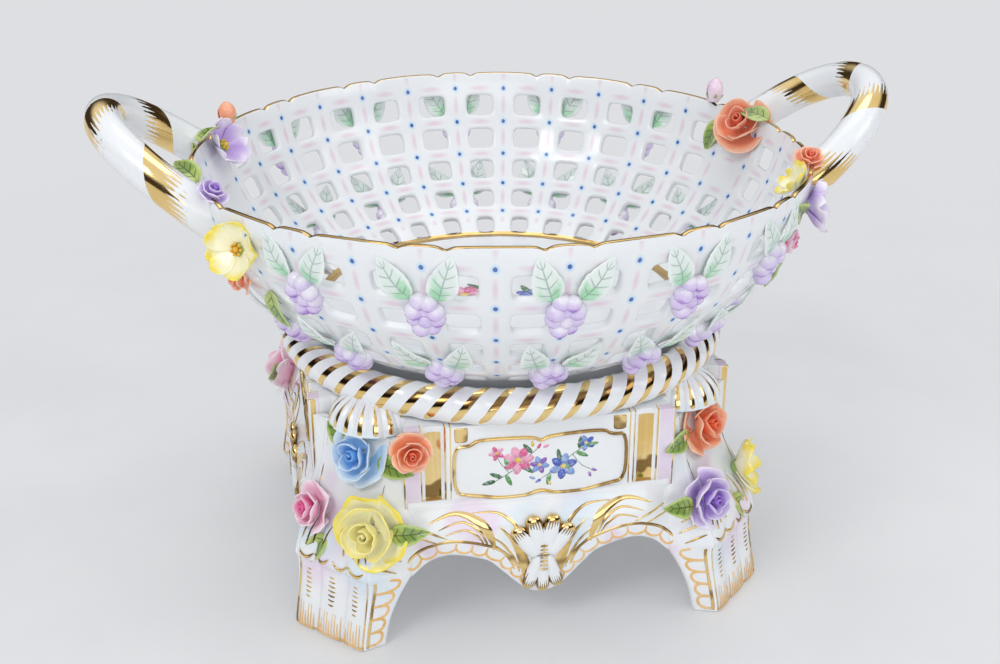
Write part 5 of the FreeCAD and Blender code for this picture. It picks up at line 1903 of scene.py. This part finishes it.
@dataclass(frozen=True)
class Bloom:
    """Modelled flowers: each lies on its own XY plane with its face along +Z."""

    height_share: float = 0.95
    rings: tuple[PetalRing, ...] = (PetalRing(3, (0.05, 0.3), (0.42, 0.45), (0.33, 0.96), 75, 0.05, 0.2, 0.15),
        PetalRing(4, (0.1, 0.18), (0.7, 0.3), (0.58, 0.84), 60, 0.1, 0.3, 0.5),
        PetalRing(5, (0.15, 0.05), (0.92, 0.08), (0.86, 0.5), 48, 0.14, 0.38, 1.0))
    steps: int = 8
    columns: int = 11

    def petal(self, draft: Draft, ring: PetalRing, radius: float, azimuth: float, seed: float) -> None:
        """One cupped petal as an open sheet.

        Args:
            draft: Takes the petal.
            ring: The ring that it belongs to.
            radius: The flower's radius.
            azimuth: Its middle, in degrees.
            seed: A number that makes each petal's ruffle its own.
        """
        height = radius * self.height_share
        size, tall = (1 + 0.07 * sin(3.1 * seed), 1 + 0.05 * cos(2.3 * seed))
        azimuth += 8 * sin(5.7 * seed)
        peak = 0.45 * sin(1.9 * seed)
        rows = []
        for step in range(self.steps):
            s = step / (self.steps - 1)
            a, b, c = ((1 - s) ** 2, 2 * s * (1 - s), s * s)
            base_r = (a * ring.start[0] + b * ring.belly[0] + c * ring.lip[0]) * size
            base_z = (a * ring.start[1] + b * ring.belly[1] + c * ring.lip[1]) * tall
            roll = ease(s, 0.68, 1.0)
            spread = ring.span * (0.45 + 0.55 * ease(s, 0.0, 0.55)) * (1 - 0.12 * ease(s, 0.8, 1.0))
            row = []
            for column in range(self.columns):
                t = 2 * column / (self.columns - 1) - 1
                edge = abs(t) ** 2.4
                curl = ring.curl * roll * (1 + 0.7 * exp(-(t - peak) ** 2 / 0.06))
                z = base_z - ring.droop * edge * ease(s, 0.3, 1.0) + 0.045 * sin(5 * t + seed) * s * s
                r = base_r * (1 + 0.06 * t) + curl - 0.06 * edge + 0.03 * sin(3.1 * t + 2 * seed) * s
                row.append(draft.add(polar(min(r, 1.06) * radius, azimuth + spread * t,
                    min(max(z - 0.55 * curl, 0.02), 1.0) * height), ring=ring.tone, lip=s))
            rows.append(row)
        draft.grid(rows)

    def rose(self, radius: float, seed: float = 0.0) -> Draft:
        """A full rose: rings of petals round a rolled heart."""
        draft = Draft()
        height = radius * self.height_share
        for number, ring in enumerate(self.rings):
            for index in range(ring.count):
                azimuth = 360 * (index + 0.37 * number) / ring.count + seed * 40
                self.petal(draft, ring, radius, azimuth, seed + index * 1.7 + number)
        turns, steps = (1.4, 22)
        rows = []
        for step in range(steps + 1):
            share = step / steps
            reach = mixed(0.04, 0.18, share) * radius
            rows.append([draft.add(polar(reach * (1 + 0.12 * sin(pi * level)), 360 * turns * share,
                height * mixed(0.3, 0.97 - 0.1 * share, level)), ring=0.0, lip=0.6 * level)
                for level in (0.0, 0.35, 0.7, 1.0)])
        draft.grid(rows)
        return draft

    def open_flower(self, radius: float, seed: float = 0.0) -> Draft:
        """An open flower of five round cupped petals with beads in its eye."""
        draft = Draft()
        steps, columns = (8, 9)
        for index in range(5):
            azimuth = 72 * index + seed * 30
            rows = []
            for step in range(steps):
                s = step / (steps - 1)
                rim = sqrt(max(1 - (max(s - 0.6, 0) / 0.42) ** 2, 0))
                half = 0.56 * rim * (0.35 + 0.65 * ease(s, 0.0, 0.6))
                row = []
                for column in range(columns):
                    t = 2 * column / (columns - 1) - 1
                    x = 0.04 + 0.92 * s - 0.07 * t * t * s
                    z = 0.2 + 0.46 * s ** 1.4 + 0.24 * t * t * s + 0.05 * t
                    z += 0.06 * sin(4.4 * t + seed + 2.1 * index) * s * s
                    point = turn(azimuth) @ Vector((x * radius, half * t * radius, min(z, 0.93) * radius))
                    row.append(draft.add(point, ring=0.25 + 0.75 * s, lip=s))
                rows.append(row)
            draft.grid(rows)
        return draft

    def eye(self, radius: float) -> Draft:
        """The solid middle of an open flower: a green cup and yellow beads."""
        draft = Draft()
        rows = []
        for reach, level in ((0.14, 0.0), (0.22, 0.1), (0.34, 0.25), (0.2, 0.33)):
            rows.append([draft.add(polar(reach * radius, 36 * side, level * radius), sepal=1.0)
                for side in range(10)])
        draft.grid(rows, closed=True)
        draft.fan(rows[0], (0, 0, 0), sepal=1.0)
        draft.fan(rows[-1], (0, 0, 0.36 * radius), sepal=1.0)
        knob(draft, Vector((0, 0, 0.4 * radius)), 0.11 * radius, eye=1.0)
        for index in range(7):
            knob(draft, polar(0.17 * radius, 360 * index / 7, 0.4 * radius), 0.06 * radius, eye=1.0)
        return draft

    def bud(self, radius: float, height: float) -> Draft:
        """A closed bud of three wrapped petals in a small cup of sepals."""
        draft = Draft()
        for index in range(3):
            rows = []
            for step in range(8):
                s = step / 7
                profile = (0.35 + 0.65 * sin(pi * (0.1 + 0.62 * s)) ** 0.8) * (1 - 0.86 * s ** 5)
                row = []
                for column in range(9):
                    t = 2 * column / 8 - 1
                    reach = radius * profile * (0.9 + 0.09 * t)
                    row.append(draft.add(polar(reach, 120 * index + 74 * t, height * s * (1 - 0.06 * t * t)),
                        ring=0.25 + 0.5 * s, lip=0.35 + 0.5 * s * abs(t)))
                rows.append(row)
            draft.grid(rows)
        for index in range(5):
            rows = []
            for step in range(4):
                s = step / 3
                row = [draft.add(polar(radius * (0.34 + 0.66 * sin(1.5 * s)), 72 * index + 30 * (1 - s) * t,
                    height * 0.42 * s), sepal=1.0) for t in (-1, 0, 1)]
                rows.append(row)
            draft.grid(rows)
        return draft


@dataclass(frozen=True)
class Blade:
    """A pointed leaf along +Y from its stalk end, lying just over its own XY plane."""

    length: float
    width: float
    cup: float = 0.9
    arch: float = 1.6
    groove: float = 0.35
    serration: float = 0.05
    hug: float = 0.0
    steps: int = 15
    columns: int = 11

    def sheet(self, seed: float = 0.0) -> Draft:
        """The leaf as an open sheet with its veins pressed in."""
        draft = Draft()
        rows = []
        for step in range(self.steps):
            s = step / (self.steps - 1)
            outline = sin(pi * s ** 0.72) ** 0.8 if 0 < s < 1 else 0.0
            teeth = 1 + self.serration * (1 if step % 2 else -1) * ease(s, 0.1, 0.3)
            half = max(self.width / 2 * outline * teeth, 0.12)
            row = []
            for column in range(self.columns):
                t = 2 * column / (self.columns - 1) - 1
                z = 0.5 + self.arch * sin(pi * s) + self.cup * abs(t) ** 1.6 * outline
                z -= self.groove * (1 - abs(t)) ** 6
                z += 0.16 * cos(tau * 5.2 * (s - 0.2 * abs(t))) * outline * abs(t) ** 0.5
                z += 0.5 * sin(2.2 * pi * s + seed) * t * outline
                bend = self.hug * (self.length * s) ** 2
                row.append(draft.add((half * t, self.length * s, max(z, 0.2) - bend), across=t, along=s))
            rows.append(row)
        draft.grid(rows)
        return draft


@dataclass
class Garland:
    """All applied flowers and leaves, in the places of their CAD nodes."""

    bloom: Bloom = Bloom()
    petal_share: float = 0.035
    leg_swell: float = 1.1
    leaf_wall: float = 0.8
    sink: float = 1.0
    crown: Pair = (3.0, 82.5)
    big: Pair = (18.0, 56.0)
    far: Pair = (-14.0, 56.0)
    leg_stops = ((0.0, 135.0), (34.0, 129.7), (34.0, 131.5), (58.0, 121.0), (76.0, 111.5), (94.0, 108.0))
    sizes = {"large": 15.5, "middle": 13.0, "plum": 11.0, "small": 8.5, "rosebud": 6.8, "open": 13.0,
        "small_open": 10.0, "bud": 5.0}
    corner_blooms = {Corner.FRONT_LEFT: (("rose_blue", "middle", Slot.BLUE),
        ("rose_yellow", "large", Slot.YELLOW), ("rose_pink", "plum", Slot.PINK)),
        Corner.FRONT_RIGHT: (("rose_orange", "middle", Slot.ORANGE), ("rose_purple", "middle", Slot.PURPLE),
        ("open_yellow", "open", Slot.YELLOW)), Corner.BACK_RIGHT: (("rose_pink", "middle", Slot.PINK),
        ("rose_blue", "middle", Slot.BLUE), ("open_yellow", "open", Slot.YELLOW)),
        Corner.BACK_LEFT: (("rose_yellow", "middle", Slot.YELLOW), ("rose_pink", "large", Slot.PINK),
        ("rose_blue", "plum", Slot.BLUE))}
    inner, rim, outer, low = ((137.6, 187.0), (140.4, 195.0), (140.0, 178.0), (132.4, 160.0))
    bowl_blooms = (("rose_orange_right", "large", Slot.ORANGE, 15.5, inner, -140, 38),
        ("bud_pink_right", "bud", Slot.PINK, 27, rim, 27, 82), ("open_yellow_right", "small_open", Slot.YELLOW,
        -27, inner, 165, 40), ("rosebud_orange_right", "rosebud", Slot.ORANGE, -20.5, rim, -95, 60),
        ("open_purple_right", "open", Slot.PURPLE, -27, outer, -24, 8),
        ("rose_pink_right", "small", Slot.PINK, -24, low, -34, -12),
        ("open_purple_left", "open", Slot.PURPLE, 160, inner, -30, 30),
        ("bud_orange_left", "bud", Slot.ORANGE, 152, rim, 152, 84),
        ("rosebud_purple_left", "rosebud", Slot.PURPLE, -158.5, rim, -40, 58),
        ("open_yellow_left", "open", Slot.YELLOW, -149, outer, -126, 12),
        ("rose_orange_left", "small", Slot.ORANGE, -156, low, -160, -14))
    bowl_leaves = {"leaves_handle_left": ((168, rim, 168, 70, 70), (-150, inner, 25, 12, 150),
        (-166, rim, -120, 60, 60), (-162, outer, -150, -10, 40), (-146, low, -140, -20, 190),
        (163, outer, 160, -12, -30)), "leaves_handle_right": ((8, rim, -150, 60, 90),
        (23, inner, -150, 10, 160), (-30, low, -34, -18, 170), (-32, outer, -40, -14, 60),
        (24, outer, 30, -12, 160))}

    def flower(self, node: str, form: str, slot: Slot, place: Matrix, body: Body, seed: float) -> None:
        """Makes one flower.

        Args:
            node: The CAD node that it stands for.
            form: The flower's form.
            slot: The record's slot, which also names its colours.
            place: Where it is stuck on.
            body: The body that it moves with.
            seed: A number that makes it unlike the next one.
        """
        radius = self.sizes[form] * (self.leg_swell if body is Body.STAND else 1.0)
        glaze = (BUDS if form == "bud" else PETALS)[slot].material()
        if form == "bud":
            shape = self.bloom.bud(radius, 10.8 if slot is Slot.ORANGE else 12.6)
        elif form in ("open", "small_open"):
            shape = self.bloom.open_flower(radius, seed)
        else:
            shape = self.bloom.rose(radius, seed)
        draft = Draft()
        draft.merge(shape, place)
        piece = draft.build(node + "_petals", glaze, sheet=True)
        rounded(thickened(piece, radius * self.petal_share + 0.3))
        settle(piece, body, slot, node)
        if form in ("open", "small_open"):
            middle = Draft()
            middle.merge(self.bloom.eye(radius), place)
            settle(rounded(middle.build(node + "_eye", glaze)), body, slot)

    def leaf_group(self, node: str, places: Sequence[Matrix], body: Body, blade: Blade, finish: Finish,
            slot: Slot, reach: float = inf) -> None:
        """Makes the leaves of one CAD node, pressed in where they pass a distance from the axis."""
        draft = Draft()
        for index, place in enumerate(places):
            draft.merge(blade.sheet(index * 1.9), place)
        for point in draft.points:
            pressed = min(1.0, reach / hypot(point.x, point.y))
            point.x *= pressed
            point.y *= pressed
        piece = draft.build(node.replace("leaves", "blades"), finish.material(), sheet=True)
        rounded(thickened(piece, self.leaf_wall))
        settle(piece, body, slot, node)

    def leg_radius(self, height: float) -> float:
        """Distance of the leg's outer face from the axis, as in the CAD model."""
        for (low, first), (high, last) in zip(self.leg_stops, self.leg_stops[1:]):
            if low <= height < high:
                return mixed(first, last, (height - low) / (high - low))
        return self.leg_stops[-1][1]

    def on_leg(self, azimuth: float, across: float, height: float, yaw: float, rise: float, lean: float = 0.0,
            lift: float = 0.0) -> Matrix:
        """A seat on the outer face of a leg."""
        point = polar(self.leg_radius(height) + lift, azimuth, height) + polar(across, azimuth + 90)
        return seat(point, facing(azimuth + yaw, rise), lean)

    def build_corners(self) -> None:
        """The flowers and leaves of the four legs."""
        blade = Blade(19.0, 10.0)
        beside = 19.8 * 0.45
        spots = ((*self.crown, 4, 18), (*self.big, 14, 12), (*self.far, -22, 14))
        leaf_spots = ((self.crown[0] + beside, self.crown[1], 6, 12, -96),
            (self.big[0] + beside, self.big[1], 14, 16, -74), (self.far[0] + beside, self.far[1] - beside, -6,
            16, 150), (self.crown[0] - beside, self.crown[1], -9, 14, 44))
        for corner in Corner:
            name, sign, azimuth = (corner.name.lower(), corner.mirror, corner.value)
            for number, ((flower, form, slot), (across, height, yaw,
                    rise)) in enumerate(zip(self.corner_blooms[corner], spots)):
                place = self.on_leg(azimuth, sign * across, height, sign * yaw, rise, 0, -self.sink)
                self.flower(flower + "_" + name, form, slot, place, Body.STAND, number + azimuth / 45)
            places = [self.on_leg(azimuth, sign * across, height, sign * yaw, rise, sign * lean) for across,
                height, yaw, rise, lean in leaf_spots]
            self.leaf_group("leaves_leg_" + name, places, Body.STAND, blade, GREEN_LEAF, Slot.LEAF)
        place = seat(Vector((-56.5, -97.0, 91.5)), facing(-90, 6))
        self.flower("rosebud_orange_front_left", "small", Slot.ORANGE, place, Body.STAND, 0.6)

    def build_bowl(self) -> None:
        """The flowers and leaves beside the handles."""
        for number, (node, form, slot, azimuth, (radius, height), face, rise) in enumerate(self.bowl_blooms):
            normal = facing(face, rise)
            place = seat(polar(radius, azimuth, height) - normal * self.sink, normal)
            self.flower(node, form, slot, place, Body.BASKET, number * 0.8)
        blade = Blade(19.0, 10.0)
        for node, spots in self.bowl_leaves.items():
            places = [seat(polar(radius, azimuth, height), facing(face, rise), lean) for azimuth,
                (radius, height), face, rise, lean in spots]
            self.leaf_group(node, places, Body.BASKET, blade, GREEN_LEAF, Slot.LEAF)


@dataclass
class Sprigs:
    """Pairs of pale leaves with a hanging bunch of grapes, on the outside of the bowl."""

    step: float = 22.5
    rows = ((173.5, 2), (134.6, 3))
    grape: float = 4.1
    counts = (2, 3, 3, 2)
    spread: float = 1.02
    drop: float = 1.02
    first_drop: float = 0.2
    lifts = (0.1, 0.38)
    gap: float = 0.3
    leaf_offset: float = 5.6
    lean: float = 26.0
    leaf_reach: float = 142.6

    def places(self, side: Side, bowl: Bowl) -> list[Matrix]:
        """The seats of one side's sprigs, each where its stalk is."""
        seats = []
        for height, count in self.rows:
            angle = bowl.angle_at(height, bowl.wall)
            for number in range(-count, count + 1):
                azimuth = side.value + number * self.step
                seats.append(seat(bowl.at(angle, bowl.wall + self.gap, azimuth), facing(azimuth, -angle)))
        return seats

    def bunch(self) -> Draft:
        """The middles and sizes of one bunch's grapes."""
        draft = Draft()
        pitch = self.grape * self.spread
        for row, count in enumerate(self.counts):
            for index in range(count):
                across = (index - (count - 1) / 2) * pitch
                down = self.grape * (self.first_drop + row * self.drop)
                lift = self.grape * self.lifts[(row + index) % 2]
                size = self.grape * (0.98 - 0.05 * ((3 * row + 2 * index) % 3))
                draft.add((across, -down, lift), size=size * MM)
        return draft

    def build(self, bowl: Bowl, scatter: BeadScatter, garland: Garland) -> None:
        """Sets the sprigs in front and behind."""
        blade = Blade(21.5, 12.6, cup=0.7, arch=1.1, serration=0.07, hug=0.0052)
        for side in (Side.FRONT, Side.BACK):
            name = side.name.lower()
            seats = []
            for index, place in enumerate(self.places(side, bowl)):
                for hand in (-1, 1):
                    lean = radians(hand * self.lean + 9 * sin(2.1 * index))
                    seats.append(place @ Matrix.Translation((-hand * self.leaf_offset, 0, 0))
                        @ Matrix.Rotation(lean, 4, "Z"))
            garland.leaf_group("sprig_leaves_" + name, seats, Body.BASKET, blade, PALE_LEAF, Slot.PALE_LEAF,
                self.leaf_reach)
            points = Draft()
            for place in self.places(side, bowl):
                points.merge(self.bunch(), place)
            grapes = Draft()
            grapes.take(scatter.run(points, GrapeGlaze()), ("down",))
            piece = grapes.build("grapes_" + name, GrapeGlaze().material())
            settle(piece, Body.BASKET, Slot.GRAPE, "sprig_grapes_" + name)


# The room


@dataclass
class Studio:
    """A plain pale floor, soft lamps and the camera."""

    lens: float = 48.15
    camera_place: Triple = (-0.11, -0.593, 0.366)
    camera_down: float = 23.8
    camera_turn: float = -10.5
    floor_tone: Tone = srgb(234, 235, 236)
    room_tone: Tone = srgb(222, 223, 226)
    lit_tone: Tone = srgb(198, 200, 203)
    floor_radius: float = 4.0

    def seen(self, shade: Shade) -> Signal:
        """1 for rays from the camera, also by way of a mirroring or clear surface."""
        paths = shade.node("ShaderNodeLightPath")
        direct = shade.maths("ADD", paths.outputs["Is Camera Ray"], paths.outputs["Is Glossy Ray"])
        return shade.maths("MINIMUM", shade.maths("ADD", direct, paths.outputs["Is Transmission Ray"]), 1.0)

    def floor(self) -> None:
        """A wide round floor with a faint mottle; for camera rays it glows in the room tone, a little near the
        object as painted light over its shadow, and fully far out.
        """
        draft = Draft()
        rows = [[draft.add(polar(radius / MM, 3.75 * side, -0.3)) for side in range(96)]
            for radius in (0.5, 1.2, 2.4, self.floor_radius)]
        draft.grid(rows, closed=True)
        draft.fan(rows[0], (0, 0, -0.3))
        material = bpy.data.materials.new("paper_floor")
        material.use_nodes = True
        material.node_tree.nodes.clear()
        shade = Shade(material.node_tree)
        surface = shade.node("ShaderNodeBsdfPrincipled")
        surface.inputs["Roughness"].default_value = 0.75
        tone = shade.mix(shade.smooth(shade.noise(9.0, 4.0), 0.35, 0.7) * 0.35, self.floor_tone,
            srgb(216, 217, 219))
        shade.feed(surface.inputs["Base Color"], tone)
        glow = shade.node("ShaderNodeEmission")
        shade.feed(glow.inputs["Color"], self.room_tone)
        x, y, _ = shade.place()
        # Painted light: the glow of 0.28 near the object lifts its cast shadow; far out the floor is an even
        # backdrop.
        away = shade.smooth(shade.hypot(x, y), 220.0, 800.0) * 0.72
        fade = (away + 0.28) * self.seen(shade)
        blend = shade.node("ShaderNodeMixShader")
        for socket, value in zip(blend.inputs, (fade, surface.outputs["BSDF"], glow.outputs["Emission"])):
            shade.feed(socket, value)
        shade.feed(shade.node("ShaderNodeOutputMaterial").inputs["Surface"], blend.outputs["Shader"])
        piece = draft.build("floor", material)
        if piece.data.polygons[0].normal.z < 0:
            piece.data.flip_normals()

    def lamp(self, name: str, place: Triple, aim: Triple, size: Pair, power: float) -> None:
        """A soft rectangular lamp."""
        light = bpy.data.lights.new(name, "AREA")
        light.shape = "RECTANGLE"
        light.size, light.size_y = size
        light.energy = power
        lamp = bpy.data.objects.new(name, light)
        lamp.location = place
        lamp.rotation_euler = (Vector(aim) - Vector(place)).to_track_quat("-Z", "Y").to_euler()
        bpy.context.scene.collection.objects.link(lamp)

    def world(self) -> None:
        """An even room: pale behind, bright above and a dark band at eye level for the gold to mirror."""
        world = bpy.data.worlds.new("room")
        bpy.context.scene.world = world
        world.use_nodes = True
        world.node_tree.nodes.clear()
        shade = Shade(world.node_tree)
        split = shade.node("ShaderNodeSeparateXYZ")
        shade.feed(split.inputs[0], shade.node("ShaderNodeTexCoord").outputs["Generated"])
        height = split.outputs["Z"]
        band = shade.smooth(height, -0.06, 0.02) * shade.below(height, 0.46, 0.12)
        mirrored = shade.mix(band, srgb(236, 236, 238), srgb(58, 50, 42))
        paths = shade.node("ShaderNodeLightPath")
        lit = shade.mix(paths.outputs["Is Glossy Ray"], self.lit_tone, mirrored)
        seen = shade.mix(paths.outputs["Is Camera Ray"], lit, self.room_tone)
        back = shade.node("ShaderNodeBackground")
        shade.feed(back.inputs["Color"], seen)
        back.inputs["Strength"].default_value = 1.0
        shade.feed(shade.node("ShaderNodeOutputWorld").inputs["Surface"], back.outputs["Background"])

    def build(self) -> None:
        """Sets up the room."""
        scene = bpy.context.scene
        scene.view_settings.view_transform = "Standard"
        data = bpy.data.cameras.new("camera")
        data.lens = self.lens
        data.sensor_width = 36.0
        camera = bpy.data.objects.new("camera", data)
        camera.location = self.camera_place
        camera.rotation_euler = (radians(90 - self.camera_down), 0, radians(self.camera_turn))
        scene.collection.objects.link(camera)
        scene.camera = camera
        self.floor()
        self.world()
        target = (0.0, 0.0, 0.12)
        self.lamp("key", (-0.9, -0.9, 1.3), target, (0.7, 0.5), 7.0)
        self.lamp("fill", (1.1, -0.6, 0.9), target, (0.6, 0.6), 2.5)
        self.lamp("overhead", (0.1, 0.3, 1.6), target, (1.1, 0.8), 4.5)
        self.lamp("front", (0.0, -1.6, 0.5), target, (1.2, 0.6), 4.5)


def main() -> None:
    """Builds the room, then the stand and the basket piece by piece."""
    logging.basicConfig(level=logging.INFO, format="%(name)s: %(message)s")
    Studio().build()
    repeat, scatter = (RoundRepeat(), BeadScatter())
    bowl, garland = (Bowl(), Garland())
    bowl.build(repeat)
    Handles().build(bowl)
    RopeRing().build(repeat)
    Drum().build()
    Leg().build()
    Apron().build()
    ShellCap().build()
    garland.build_corners()
    garland.build_bowl()
    Sprigs().build(bowl, scatter, garland)
    well = Draft()
    Spray().onto(well, Matrix.Translation((0, 0, 119.65)) @ Matrix.Scale(1.7, 4))
    settle(well.build("spray_well", Enamel().material()), Body.BASKET, Slot.WHITE)


if __name__ == "__main__":
    main()
